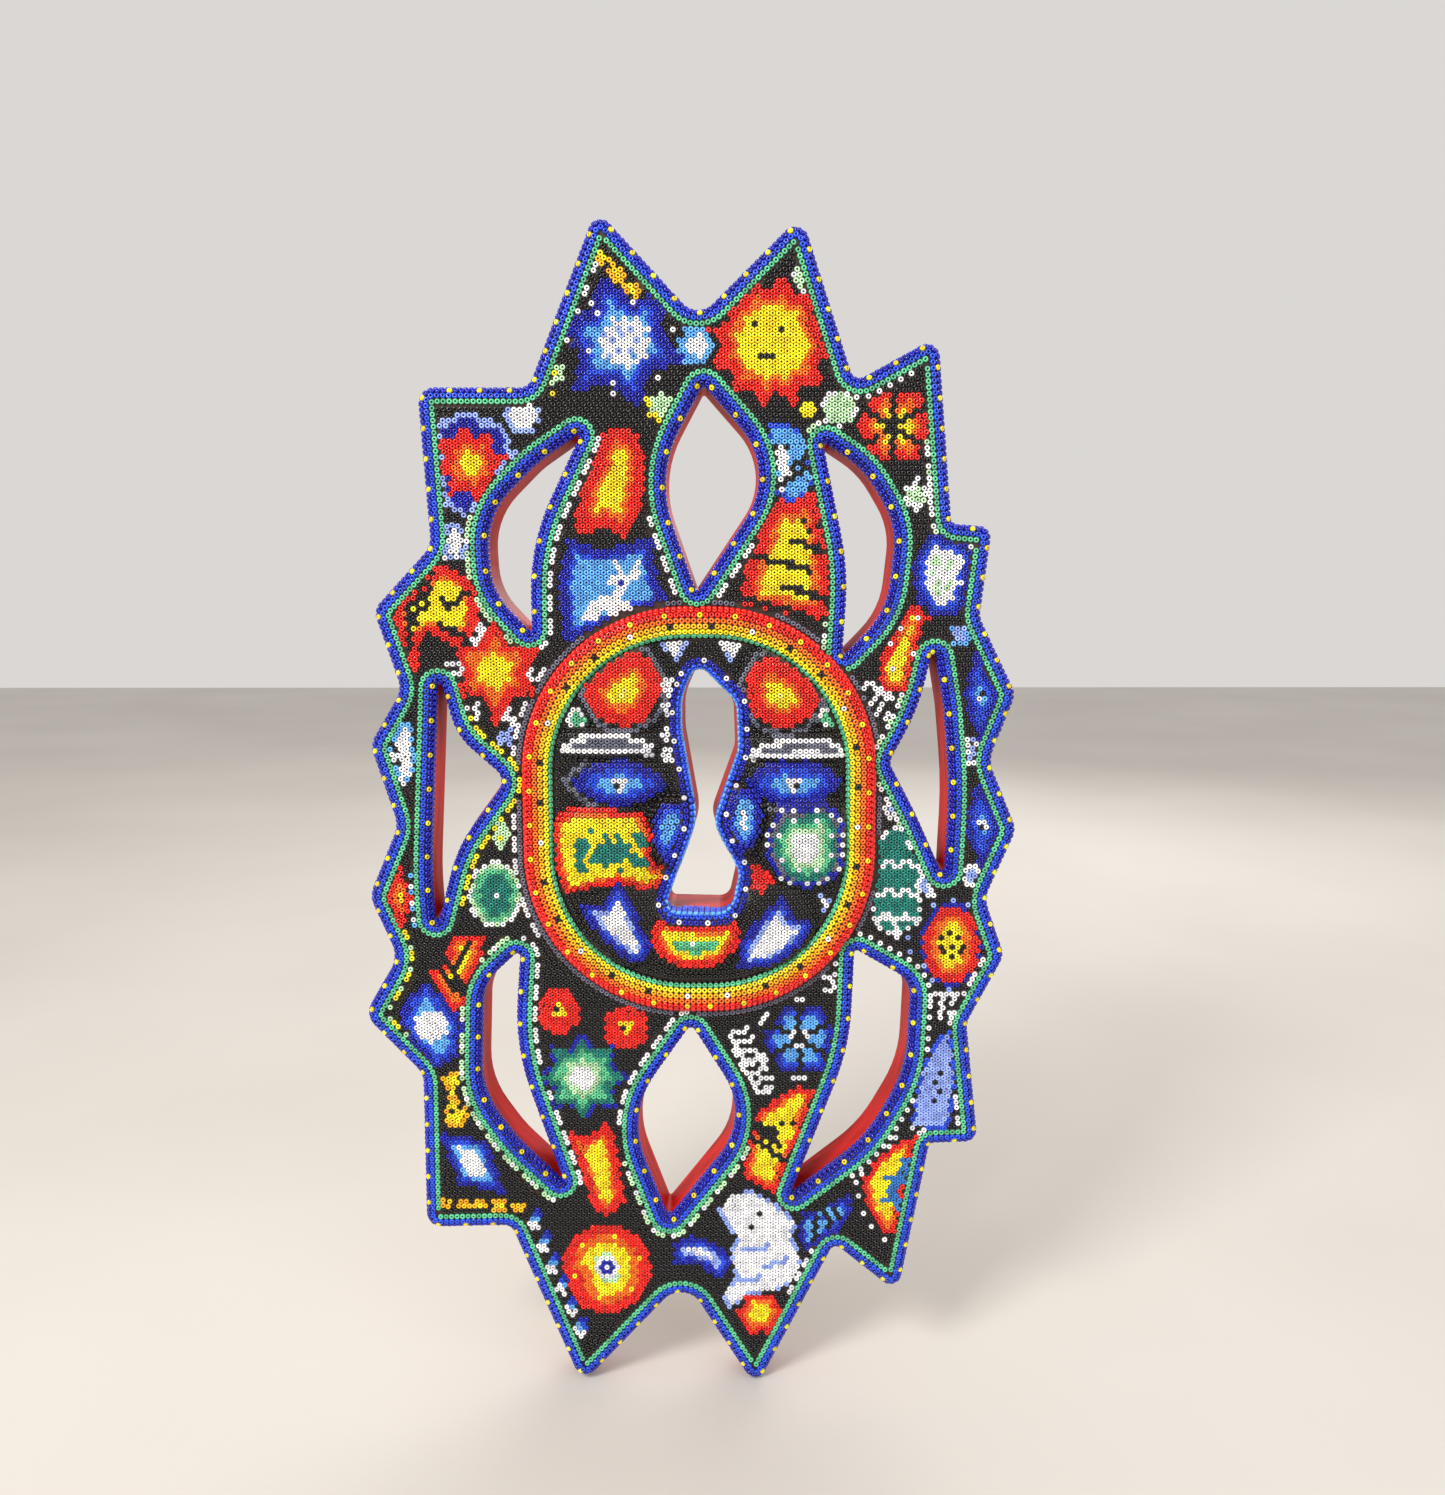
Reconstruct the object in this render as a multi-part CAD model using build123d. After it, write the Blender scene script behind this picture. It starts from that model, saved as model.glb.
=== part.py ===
from build123d import *
import math
import os

# Pierced wall panel: a carved board with a mask in its middle, its whole
# front covered with glass seed beads that are pressed into beeswax.
# Every shape is drawn lying down, X to the right, Y up the panel and +Z out
# of its front. stand() then puts it upright: +Z up and the front to -Y.
# Heights up the panel are counted from its lowest tip until then.

# Driving dimensions. They are in drawing units, and so is the whole model until
# stand() gives it its real size.
UNIT = 0.61              # millimetres in one drawing unit
BOARD = 28.0             # thickness of the wood
EDGE = 4.0               # rounding of the wood's front edges
WAX = 0.4                # beeswax over the wood
SKIN = 1.8               # wax and beads together
ROLL = 6.0               # how far the beads roll down behind the front
RIM = 9.5                # width of the bead rows along the edges
SLOT_RIM = 5.0           # the same along the slot in the mask
DRAFT = 3.5              # openings are this much smaller at the back, each side
HANG = 637.0             # height of the hanging point over the lowest tip
SMALLEST = 0.4           # smallest radius of a rounded corner

# The raised ring around the mask.
RING_X = 0.5
RING_Y = 370.0
RING_OUTER = (211.0, 246.0, 98.0)     # width, height and corner radius
RING_WIDTH = 18.5
RING_HEIGHT = 7.0
FACE_BASE = 1.5          # the mask's ground stands this high over the board

# Outer edge, over the beads: x, height and corner radius of each corner.
OUTLINE = [
    (-57, 716, 7), (0, 656, 12), (59, 713, 8), (90, 621, 6), (138, 647, 7.5), (148, 541, 4),
    (172, 539, 7), (166, 487, 12), (189, 441, 12), (174, 401, 18), (192, 359, 12), (174, 316, 18),
    (187, 280, 12), (165, 237, 14), (174, 160, 7), (144, 159, 3), (126, 58, 7), (85, 92, 4),
    (36, -7, 7), (-10, 68, 14), (-76, -4, 8), (-119, 105, 7), (-172, 104, 9), (-171, 205, 16),
    (-206, 243, 12), (-184, 280, 18), (-200, 318, 16), (-181, 362, 18), (-196, 411, 14),
    (-176, 444, 14), (-191, 491, 10), (-156, 528, 14), (-161, 618, 9), (-97, 618, 8),
]

# Openings, inside the beads of their edges, given in the same way.
TOP_ALMOND = [(3, 621, 3), (-25, 569, 72), (-1, 500, 2), (47, 572, 48)]
BOTTOM_ALMOND = [(-5, 237, 3), (-46, 178, 62), (-20, 107, 3), (33, 175, 48)]
UPPER_LEFT_CRESCENT = [
    (-66, 595, 1.5), (-94, 576, 60), (-124, 546, 45), (-122, 502, 40), (-98, 476, 1.5),
    (-98, 530, 170),
]
UPPER_RIGHT_CRESCENT = [
    (72, 589, 1.5), (88, 515, 150), (85, 462, 1.5), (112, 490, 50), (117, 540, 45), (97, 573, 60),
]
LOWER_LEFT_CRESCENT = [
    (-109, 285, 2), (-133, 263, 30), (-136, 192, 70), (-114, 160, 90), (-84, 130, 1.5),
    (-114, 222, 150),
]
LOWER_RIGHT_CRESCENT = [
    (95, 285, 2), (93, 222, 150), (56, 122, 1.5), (104, 160, 90), (129, 205, 80), (131, 264, 18),
]
LEFT_SLOT = [
    (-155, 458, 2), (-163, 330, 300), (-161, 292, 2), (-146, 348, 90), (-115, 390, 9), (-144, 416, 40),
]
RIGHT_SLOT = [
    (140, 473, 2), (131, 432, 200), (114, 400, 8), (131, 368, 200), (150, 326, 2),
    (152, 385, 300), (147, 434, 60),
]
PROFILE_SLOT = [
    (-1, 461, 6), (-10, 440, 30), (-10, 420, 40), (-1, 368, 30), (-21, 311, 5), (20, 310, 9),
    (25, 333, 12), (9, 366, 16), (24, 408, 18), (23, 437, 14),
]
OPENINGS = [
    TOP_ALMOND, BOTTOM_ALMOND, UPPER_LEFT_CRESCENT, UPPER_RIGHT_CRESCENT,
    LOWER_LEFT_CRESCENT, LOWER_RIGHT_CRESCENT, LEFT_SLOT, RIGHT_SLOT,
]

# Mounds of the carved mask: x, height up the panel, half width, half height
# and how far each stands out of the board.
MOUNDS = [
    (-44, 446, 30, 30, 9), (50, 444, 30, 30, 9),          # forehead
    (-53, 413, 34, 11, 9), (58, 411, 34, 11, 9),          # brows
    (-47, 390, 31, 16, 8), (57, 390, 31, 16, 8),          # eyes
    (-15, 360, 15, 22, 15), (25, 368, 15, 22, 15),        # wings of the nose
    (-57, 349, 34, 30, 11), (65, 354, 33, 31, 11),        # cheeks
    (-46, 304, 27, 30, 9), (45, 300, 27, 30, 9),          # jowls
    (-2, 297, 30, 25, 12),                                # mouth
]
# Hanger: a steel keyhole plate, let into the back and held by two screws.
PLATE = (46.0, 20.0, 1.5)     # length, height and thickness
PLATE_RISE = 1.5              # the plate's middle over the keyhole's round hole
PLATE_GAP = 0.2               # between the plate and its recess, all round
KEYHOLE = (4.2, 4.4, 5.0)     # radius of the round hole, width and rise of its slot
HEAD_ROOM = (13.0, 17.0, 8.0)  # hollow behind the keyhole for a wall screw's head
SCREW_X = 17.0
SCREW_SHANK = 1.5
SCREW_HEAD = 2.9
SCREW_LENGTH = 14.0
SCREW_DROP = 0.3              # the heads sit this far inside the plate's face
SCREW_NOTCH = (0.7, 0.5)      # width and depth of the driver slot
SCREW_GAP = 0.05              # between a screw's head and the plate, all round


def rounded(corners, grow=0.0):
    """Face of a polygon with rounded corners, grown outward by that much."""
    count = len(corners)
    area = sum(a[0] * b[1] - b[0] * a[1] for a, b in zip(corners, corners[1:] + corners[:1]))
    if area < 0:
        corners = corners[::-1]
    moved = []
    for i, (x, y, radius) in enumerate(corners):
        before = corners[i - 1]
        after = corners[(i + 1) % count]
        way_in = unit(before, (x, y))
        way_out = unit((x, y), after)
        cross = way_in[0] * way_out[1] - way_in[1] * way_out[0]
        dot = way_in[0] * way_out[0] + way_in[1] * way_out[1]
        # The corner moves along the sum of its two outward normals.
        reach = grow / (1.0 + dot)
        new_x = x + reach * (way_in[1] + way_out[1])
        new_y = y - reach * (way_in[0] + way_out[0])
        convex = cross > 0
        new_radius = radius + (grow if convex else -grow)
        half_turn = math.atan2(abs(cross), dot) / 2.0
        moved.append((new_x, new_y, max(new_radius, SMALLEST), half_turn))
    edges = []
    ends = []
    for i, (x, y, radius, half_turn) in enumerate(moved):
        before = moved[i - 1]
        after = moved[(i + 1) % count]
        room = 0.49 * min(math.dist((x, y), before[:2]), math.dist((x, y), after[:2]))
        cut = min(radius * math.tan(half_turn), room)
        radius = cut / math.tan(half_turn)
        way_in = unit(before, (x, y))
        way_out = unit((x, y), after)
        start = Vector(x - cut * way_in[0], y - cut * way_in[1])
        end = Vector(x + cut * way_out[0], y + cut * way_out[1])
        inward = unit((x, y), (way_out[0] - way_in[0] + x, way_out[1] - way_in[1] + y))
        depth = radius / math.cos(half_turn) - radius
        middle = Vector(x + depth * inward[0], y + depth * inward[1])
        edges.append(ThreePointArc(start, middle, end).edge())
        ends.append((start, end))
    for i, (start, end) in enumerate(ends):
        edges.append(Line(end, ends[(i + 1) % count][0]).edge())
    return Face(Wire(edges))


def unit(start, end):
    """Direction from one point to another."""
    length = math.dist(start[:2], end[:2])
    return ((end[0] - start[0]) / length, (end[1] - start[1]) / length)


def lift(face, height, base=0.0):
    """Straight body over a flat face, from that base up."""
    return extrude(Pos(0, 0, base) * face, height, dir=(0, 0, 1))


def disc(x, y, half_width, half_height=None):
    """Oval or round face."""
    half_height = half_height or half_width
    if half_width == half_height:
        return Pos(x, y) * Circle(half_width).face()
    return Pos(x, y) * Ellipse(half_width, half_height).face()


def star(x, y, points, outer, inner, turn=90.0):
    """Star with its first point at that angle."""
    corners = []
    for i in range(2 * points):
        reach = inner if i % 2 else outer
        angle = math.radians(turn + 180.0 * i / points)
        corners.append((x + reach * math.cos(angle), y + reach * math.sin(angle)))
    return patch(*corners)


def patch(*corners):
    """Face with straight sides between its corners."""
    return Face(Wire.make_polygon([Vector(*corner) for corner in corners]))


def block(x, y, width, height, turn=0.0):
    """Small rectangular face."""
    return Pos(x, y) * Rot(0, 0, turn) * Rectangle(width, height).face()


def flower(x, y, petals, reach):
    """Round petals around a middle."""
    shape = disc(x, y, 0.55 * reach)
    for i in range(petals):
        angle = 2.0 * math.pi * i / petals
        middle = (x + 0.6 * reach * math.cos(angle), y + 0.6 * reach * math.sin(angle))
        shape = shape + disc(*middle, 0.4 * reach)
    return shape


def lens(x, y, half_width, half_height):
    """Almond shape of two arcs, lying down."""
    left = Vector(x - half_width, y)
    right = Vector(x + half_width, y)
    over = ThreePointArc(left, Vector(x, y + half_height), right).edge()
    under = ThreePointArc(right, Vector(x, y - half_height), left).edge()
    return Face(Wire([over, under]))


def comb(x, y, width, height, teeth, turn=0.0):
    """Row of upright bars on a bar."""
    pitch = width / teeth
    shape = Rectangle(width, 0.35 * height).face()
    for i in range(teeth):
        tooth_x = (i + 0.5) * pitch - width / 2
        shape = shape + Pos(tooth_x, 0.3 * height) * Rectangle(0.55 * pitch, 0.7 * height).face()
    return Pos(x, y) * Rot(0, 0, turn) * shape


def board_fields():
    """Bead pictures on the flat of the board, by node."""
    return {
        "blue_star": [star(-44, 643, 6, 39, 24, 45)],
        "sun_face": [star(43, 643, 12, 38, 28, 80)],
        "small_yellow_stars": [
            star(-21, 608, 6, 12, 6.5), star(-83, 626, 6, 12, 6.5), disc(63, 606, 5),
        ],
        "small_white_flowers": [
            disc(59, 679, 5, 9.5), flower(82, 606, 8, 11), star(127, 557, 6, 11, 6),
            flower(140, 326, 6, 8), flower(164, 331, 6, 7.5), star(115, 372, 6, 7.5, 4.5),
            disc(163, 407, 5, 10),
        ],
        "small_blue_flowers": [
            flower(-1, 641, 6, 11), flower(-101, 602, 6, 11), flower(-144, 530, 6, 12),
            flower(-115, 416, 6, 6),
            patch((-175, 426), (-169, 421), (-169, 395), (-176, 384), (-184, 395), (-185, 412)),
            flower(154, 476, 6, 7),
        ],
        "petal_flowers": [flower(114, 596, 6, 22), flower(63, 228, 6, 23)],
        "blue_figure_patches": [
            patch((41, 598), (55, 596), (66, 588), (69, 575), (66, 560), (54, 553), (42, 560)),
            patch((64, 114), (76, 115), (93, 128), (97, 115), (91, 105), (80, 97), (67, 87), (61, 98)),
        ],
        "serpent_patch": [
            patch((47, 556), (56, 561), (73, 558), (84, 541), (86, 517),
                  (86, 485), (22, 490), (26, 506), (31, 525), (39, 543)),
        ],
        "flame_patches": [
            patch((-56, 590), (-46, 597), (-35, 591), (-29, 580), (-31, 561), (-34, 545), (-42, 531),
                  (-54, 539), (-66, 533), (-73, 538), (-70, 550), (-66, 567), (-59, 579)),
            patch((-85, 171), (-70, 165), (-56, 176), (-50, 151),
                  (-47, 122), (-58, 111), (-68, 120), (-74, 141)),
        ],
        "animal_patch": [
            patch((-76, 532), (-57, 526), (-26, 533), (-24, 511), (-16, 490), (-80, 472), (-81, 509)),
        ],
        "outlined_star": [flower(-133, 575, 8, 30)],
        "eagle_patch": [
            patch((-150, 518), (-132, 508), (-129, 492), (-130, 479), (-142, 468), (-161, 466),
                  (-167, 449), (-175, 450), (-180, 469), (-181, 488), (-175, 501), (-161, 510)),
        ],
        "red_star": [star(-120, 455, 6, 32, 18)],
        "diamonds": [
            patch((-181, 340), (-173, 319), (-180, 297), (-189, 320)),
            patch((-119, 367), (-113, 356), (-119, 345), (-125, 356)),
            patch((-162, 168), (-133, 163), (-121, 127), (-151, 134)),
            patch((164, 470), (180, 440), (169, 408), (157, 440)),
            patch((168, 394), (182, 362), (171, 332), (160, 363)),
        ],
        "green_oval": [disc(-123, 320, 16.5, 20.5)],
        "deer_patch": [
            patch((-153, 295), (-130, 295), (-132, 281), (-144, 252),
                  (-150, 244), (-159, 259), (-165, 270), (-157, 284)),
        ],
        "blue_oval": [
            patch((-167, 265), (-151, 251), (-145, 237), (-148, 219),
                  (-162, 209), (-174, 222), (-184, 241), (-178, 255)),
        ],
        "lizard": [
            patch((-160, 203), (-152, 209), (-145, 200), (-151, 195), (-150, 190), (-143, 183), (-145, 173),
                  (-156, 172), (-159, 184), (-155, 190), (-155, 196)),
        ],
        "yellow_stitches": [
            block(-159, 121, 9, 6.5), block(-148, 121, 8.5, 6.5), block(-137, 120.5, 8.5, 6.5),
            block(-125.5, 119.5, 8.5, 6.5), block(-113.5, 118.5, 8.5, 6.5),
            block(-54, 690, 7, 11, 40), block(-46, 681, 7, 11, 40), block(-37, 672, 7, 10, 40),
        ],
        "blue_stitches": [
            block(-103 + 5.4 * i, 110 - 14.6 * i, 7.5, 13, -25) for i in range(6)
        ],
        "target_disc": [disc(-59, 77, 28, 30.5)],
        "green_star": [star(-72, 204, 8, 29, 20)],
        "red_discs": [disc(-86, 247, 13, 15), disc(-45, 236, 14), flower(38, 46, 6, 15)],
        "valley_comb": [
            patch((-17, 94), (-4, 99), (11, 94), (20, 82), (14, 68), (3, 77), (-7, 81), (-17, 79)),
        ],
        "bear_figure": [
            patch((19, 127), (32, 129), (47, 121), (61, 108), (58, 97), (65, 82), (60, 67), (49, 61),
                  (38, 60), (17, 50), (14, 60), (23, 72), (19, 86), (23, 98), (11, 116)),
        ],
        "half_round_patch": [
            patch((141, 166), (139, 127), (129, 97), (115, 102),
                  (106, 115), (102, 135), (110, 150), (124, 161)),
        ],
        "house_patch": [
            patch((154, 236), (160, 208), (155, 168), (132, 171), (136, 210), (145, 224)),
        ],
        "oval_flower": [disc(154, 288, 19, 26)],
        "white_combs": [
            comb(152, 254, 22, 17, 5, 180), comb(108, 440, 24, 13, 6, 150),
            comb(30, 213, 42, 13, 8, -65), comb(-130, 477, 8, 8, 2, 40), comb(-143, 456, 8, 7, 2, 90),
            comb(-96, 451, 8, 8, 2, 0), comb(-134, 430, 8, 8, 2, 20), comb(-111, 427, 8, 8, 2, -20),
            comb(82, 263, 8, 9, 2, 80),
        ],
        "feather_patch": [
            patch((120, 363), (134, 352), (135, 328), (134, 302),
                  (120, 292), (105, 300), (106, 331), (106, 353)),
        ],
        "round_flower": [disc(144, 512, 18.5, 25)],
        "leaf_patch": [
            patch((124, 496), (141, 484), (131, 458), (121, 442), (108, 445), (106, 458), (115, 475)),
        ],
        "bar_figure_patch": [
            patch((62, 198), (76, 192), (69, 177), (62, 154), (51, 124), (27, 138), (31, 162), (36, 182)),
        ],
    }


def mask_fields():
    """Bead pictures on the carved mask, by node."""
    return {
        "brows": [lens(-53, 412, 27, 7), lens(58, 410, 29, 7.5)],
        "eyes": [lens(-47, 389, 29, 14), lens(57, 389, 29, 14.5)],
        "forehead_suns": [disc(-44, 446, 22, 23), disc(50, 444, 22)],
        "forehead_triangles": [
            patch((-24, 475), (-4, 475), (-13, 459)), patch((8, 475), (29, 475), (20, 459)),
            patch((72, 320), (82, 316), (76, 305)), flower(-72, 427, 6, 7), flower(77, 428, 6, 7),
        ],
        "nose_diamonds": [disc(-17 - 0.4 * i, 446 - 13.5 * i, 4.5, 6) for i in range(4)],
        "nose_wings": [disc(-15, 360, 12.5, 18.5), disc(25, 368, 13, 20)],
        "cheek_patches": [
            patch((-86, 368), (-74, 375), (-34, 372), (-27, 361), (-29, 349), (-26, 339), (-15, 338),
                  (-18, 328), (-30, 322), (-48, 329), (-66, 325), (-80, 319), (-84, 332), (-87, 353)),
            patch((29, 338), (38, 338), (46, 329), (38, 322), (29, 323)),
        ],
        "cheek_disc": [disc(65, 352, 25, 27)],
        "jowl_stars": [
            patch((-48, 330), (-39, 315), (-29, 289), (-33, 278),
                  (-42, 279), (-60, 296), (-74, 316), (-58, 316)),
            patch((50, 322), (56, 309), (70, 303), (60, 288), (45, 277), (24, 274), (24, 288), (35, 306)),
        ],
        "mouth": [disc(-2, 297, 26.5, 21.5)],
    }


def slab(grow):
    """Blank with the mouths of its openings, grown all over by a layer's thickness."""
    body = lift(rounded(OUTLINE, grow - SKIN), BOARD + grow)
    for opening in OPENINGS:
        body = body - lift(rounded(opening, SKIN - grow), 2 * ROLL, BOARD - ROLL)
    top = body.faces().sort_by(Axis.Z)[-1]
    return fillet(top.edges(), EDGE + grow)


def tail(opening):
    """The part of an opening behind its mouth, narrowing to the back."""
    mouth = Pos(0, 0, BOARD - ROLL) * rounded(opening, SKIN)
    back = rounded(opening, SKIN - DRAFT)
    return loft([back, mouth], ruled=True)


def ring_face(inset):
    """Flat oval inside the ring's outer edge."""
    width, height, radius = RING_OUTER
    x = width / 2 - inset
    y = height / 2 - inset
    corners = [(-x, -y), (x, -y), (x, y), (-x, y)]
    return rounded([(RING_X + a, RING_Y + b, radius - inset) for a, b in corners])


def ring_body(grow):
    """Half-round moulding around the mask, grown by a layer's thickness."""
    band = lift(ring_face(SKIN - grow), RING_HEIGHT + grow, BOARD)
    band = band - lift(ring_face(RING_WIDTH - SKIN + grow), 2 * BOARD)
    top = band.faces().sort_by(Axis.Z)[-1]
    return fillet(top.edges(), RING_HEIGHT - 1.0 + grow)


def mask_body(grow):
    """The mask inside the ring: a low ground and its mounds, with the slot through it."""
    inside = ring_face(RING_WIDTH)
    body = lift(inside, FACE_BASE + grow, BOARD)
    whole = lift(inside, BOARD, BOARD)
    for x, y, half_width, half_height, height in MOUNDS:
        by = (half_width + grow, half_height + grow, height + grow)
        body = body + (Pos(x, y, BOARD) * scale(Sphere(1), by=by) & whole)
    return body - lift(rounded(PROFILE_SLOT, SKIN - grow), 2 * BOARD)


def board_and_hanger():
    """The carved wood with its nine openings, the hanger plate and its screws."""
    board = slab(0)
    board = board - lift(rounded(PROFILE_SLOT, SKIN), 2 * ROLL, BOARD - ROLL)
    for opening in OPENINGS + [PROFILE_SLOT]:
        board = board - tail(opening)
    length, height, thickness = PLATE
    middle = Pos(0, HANG + PLATE_RISE, 0)
    recess = Rectangle(length + 2 * PLATE_GAP, height + 2 * PLATE_GAP).face()
    board = board - middle * lift(recess, thickness)
    room_width, room_height, room_depth = HEAD_ROOM
    board = board - middle * lift(Rectangle(room_width, room_height).face(), room_depth)
    plate = middle * lift(Rectangle(length, height).face(), thickness)
    radius, slot_width, rise = KEYHOLE
    plate = plate - Pos(0, HANG) * lift(Circle(radius).face(), thickness)
    slot = Pos(0, HANG + rise / 2) * Rectangle(slot_width, rise).face()
    slot_end = Pos(0, HANG + rise) * Circle(slot_width / 2).face()
    plate = plate - lift(slot, thickness) - lift(slot_end, thickness)
    screws = []
    for x in (-SCREW_X, SCREW_X):
        place = Pos(x, HANG + PLATE_RISE, 0)
        board = board - place * lift(Circle(SCREW_SHANK).face(), SCREW_LENGTH)
        plate = plate - place * screw_blank(SCREW_GAP)
        plate = plate - place * lift(Circle(SCREW_HEAD + SCREW_GAP).face(), SCREW_DROP)
        screws.append(place * screw())
    return board, plate, screws


def screw_blank(grow):
    """Countersunk screw with no driver slot, its head towards the back."""
    head_height = PLATE[2] - SCREW_DROP
    middle = Pos(0, 0, SCREW_DROP + head_height / 2)
    head = middle * Cone(SCREW_HEAD + grow, SCREW_SHANK + grow, head_height)
    shank = Pos(0, 0, PLATE[2]) * Cylinder(
        SCREW_SHANK, SCREW_LENGTH - PLATE[2], align=(Align.CENTER, Align.CENTER, Align.MIN))
    return head + shank


def screw():
    """Countersunk wood screw with a driver slot."""
    width, depth = SCREW_NOTCH
    notch = lift(Rectangle(3 * SCREW_HEAD, width).face(), depth, SCREW_DROP)
    return screw_blank(0) - notch


def stand(shape):
    """Put a shape upright at its real size, with the hanging point at the origin."""
    upright = Pos(0, 0, -HANG) * Rot(90, 0, 0) * shape
    return upright.scale(UNIT, about=(0, 0, 0))


def save(name, shape):
    """Write one node."""
    solids = [stand(solid) for solid in shape.solids()]
    export_step(solids[0] if len(solids) == 1 else Compound(solids), f"parts/{name}.step")


def together(shapes):
    """One shape out of several that don't overlap."""
    return Compound([solid for shape in shapes for solid in shape.solids()])


def split_fields(fields, region):
    """Cut pictures out of a flat region, first come first served, and what is left of it."""
    kept = {}
    for name, faces in fields.items():
        kept[name] = []
        for face in faces:
            piece = region & face
            kept[name].extend(piece.faces())
            region = region - face
    return kept, region


def build():
    """Make and write every node."""
    board, plate, screws = board_and_hanger()
    save("carved_board", board)
    save("hanger_plate", plate)
    save("hanger_screws", together(screws))
    save("ring_moulding", ring_body(0))
    save("mask_carving", mask_body(0))

    # Over the flat of the board, outside the ring.
    all_round = Rectangle(4 * RING_OUTER[0], 8 * RING_OUTER[1]).face()
    outside = all_round - ring_face(0)
    over_board = lift(outside, 2 * ROLL, BOARD - ROLL)
    waxed = slab(WAX)
    wax = (waxed - slab(0)) & over_board
    beads = (slab(SKIN) - waxed) & over_board
    ring_wax = ring_body(WAX) - ring_body(0)
    mask_waxed = mask_body(WAX)
    mask_wax = mask_waxed - mask_body(0)
    save("beeswax", together([wax, ring_wax, mask_wax]))
    save("ring_beads", ring_body(SKIN) - ring_body(WAX))

    inner = rounded(OUTLINE, -RIM)
    save("outer_rim_beads", beads - lift(inner, 2 * BOARD))
    region = inner & outside
    groups = {
        "almond_rims": [TOP_ALMOND, BOTTOM_ALMOND],
        "upper_crescent_rims": [UPPER_LEFT_CRESCENT, UPPER_RIGHT_CRESCENT],
        "lower_crescent_rims": [LOWER_LEFT_CRESCENT, LOWER_RIGHT_CRESCENT],
        "side_slot_rims": [LEFT_SLOT, RIGHT_SLOT],
    }
    for name, openings in groups.items():
        rims = []
        for opening in openings:
            around = rounded(opening, RIM)
            rims.append(beads & lift(region & around, 2 * BOARD))
            region = region - around
        save(name, together(rims))
    kept, ground = split_fields(board_fields(), region)
    for name, faces in kept.items():
        save(name, together(lift(face, SKIN - WAX, BOARD + WAX) for face in faces))
    save("ground_beads", together(lift(face, SKIN - WAX, BOARD + WAX) for face in ground.faces()))

    # Over the mask, inside the ring.
    skin = mask_body(SKIN) - mask_waxed
    slot_rim = rounded(PROFILE_SLOT, SLOT_RIM)
    sleeve = lift(rounded(PROFILE_SLOT, SKIN - WAX) - rounded(PROFILE_SLOT), ROLL, BOARD - ROLL)
    save("slot_rim_beads", (skin & lift(slot_rim, 2 * BOARD)) + sleeve)
    skin = skin - lift(slot_rim, 2 * BOARD)
    for name, faces in mask_fields().items():
        pieces = []
        for face in faces:
            prism = lift(face, 2 * BOARD)
            pieces.append(skin & prism)
            skin = skin - prism
        save(name, together(pieces))
    save("mask_ground_beads", skin)


os.makedirs("parts", exist_ok=True)
build()
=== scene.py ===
import math

import bpy
import numpy as np
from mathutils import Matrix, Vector
from mathutils.bvhtree import BVHTree
from mathutils.kdtree import KDTree


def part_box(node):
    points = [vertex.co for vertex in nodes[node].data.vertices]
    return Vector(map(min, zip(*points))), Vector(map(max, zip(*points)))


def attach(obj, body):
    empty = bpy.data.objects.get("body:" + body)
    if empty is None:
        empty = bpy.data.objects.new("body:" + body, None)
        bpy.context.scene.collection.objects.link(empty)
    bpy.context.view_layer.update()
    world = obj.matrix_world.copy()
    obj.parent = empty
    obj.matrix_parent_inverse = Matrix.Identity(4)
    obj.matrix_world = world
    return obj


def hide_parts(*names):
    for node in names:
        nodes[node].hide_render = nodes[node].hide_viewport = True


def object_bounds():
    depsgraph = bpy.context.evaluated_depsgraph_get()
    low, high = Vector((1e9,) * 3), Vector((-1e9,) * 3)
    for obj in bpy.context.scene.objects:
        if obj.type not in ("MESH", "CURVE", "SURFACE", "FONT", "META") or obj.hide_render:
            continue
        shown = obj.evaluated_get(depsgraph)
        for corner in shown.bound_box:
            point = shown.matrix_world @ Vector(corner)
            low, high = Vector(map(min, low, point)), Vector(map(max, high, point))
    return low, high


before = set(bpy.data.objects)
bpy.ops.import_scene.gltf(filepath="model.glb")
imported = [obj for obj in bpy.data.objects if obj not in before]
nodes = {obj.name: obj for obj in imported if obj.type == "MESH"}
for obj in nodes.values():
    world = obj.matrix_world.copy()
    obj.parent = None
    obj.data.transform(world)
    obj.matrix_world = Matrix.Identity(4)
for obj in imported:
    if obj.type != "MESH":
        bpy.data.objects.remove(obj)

cad_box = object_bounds()
rng = np.random.default_rng(7)

# Everything below is worked out lying flat, in units of UNIT millimetres: u to the right,
# v up the panel and h out of its front. lying() and standing() go between that and the
# row frame.
UNIT = 0.61            # millimetres
PITCH = 3.44           # from bead to bead, 2.1 mm
SLIVER = 2.0           # a picture is larger than that
BEAD_BASE = 28.4       # top of the wax on the flat of the board
BEAD_MID = 0.7         # middle of a bead over its wax
FLAT_MID = BEAD_BASE + BEAD_MID
FLAT_TOP = BEAD_BASE + 2 * BEAD_MID
EDGE = 4.0             # rounding of the wood's front edges
EDGE_FOOT = 24.0       # height where that rounding begins
WALL_CUT = 23.0        # height where the outlines of the walls are taken
RING_CUT = 28.5        # height where the ring's outline is taken
WAX = 0.4              # thickness of the wax
ROW = 1.78             # width of one band of colour in a picture
FINE_STEP = 0.25       # spacing of the points that describe an edge
ROW_SLACK = 0.06       # a row's line may come that much nearer to its edge
BEAD_NODES = [n for n in nodes if n not in (
    "carved_board", "ring_moulding", "mask_carving", "beeswax", "hanger_plate", "hanger_screws")]


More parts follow.
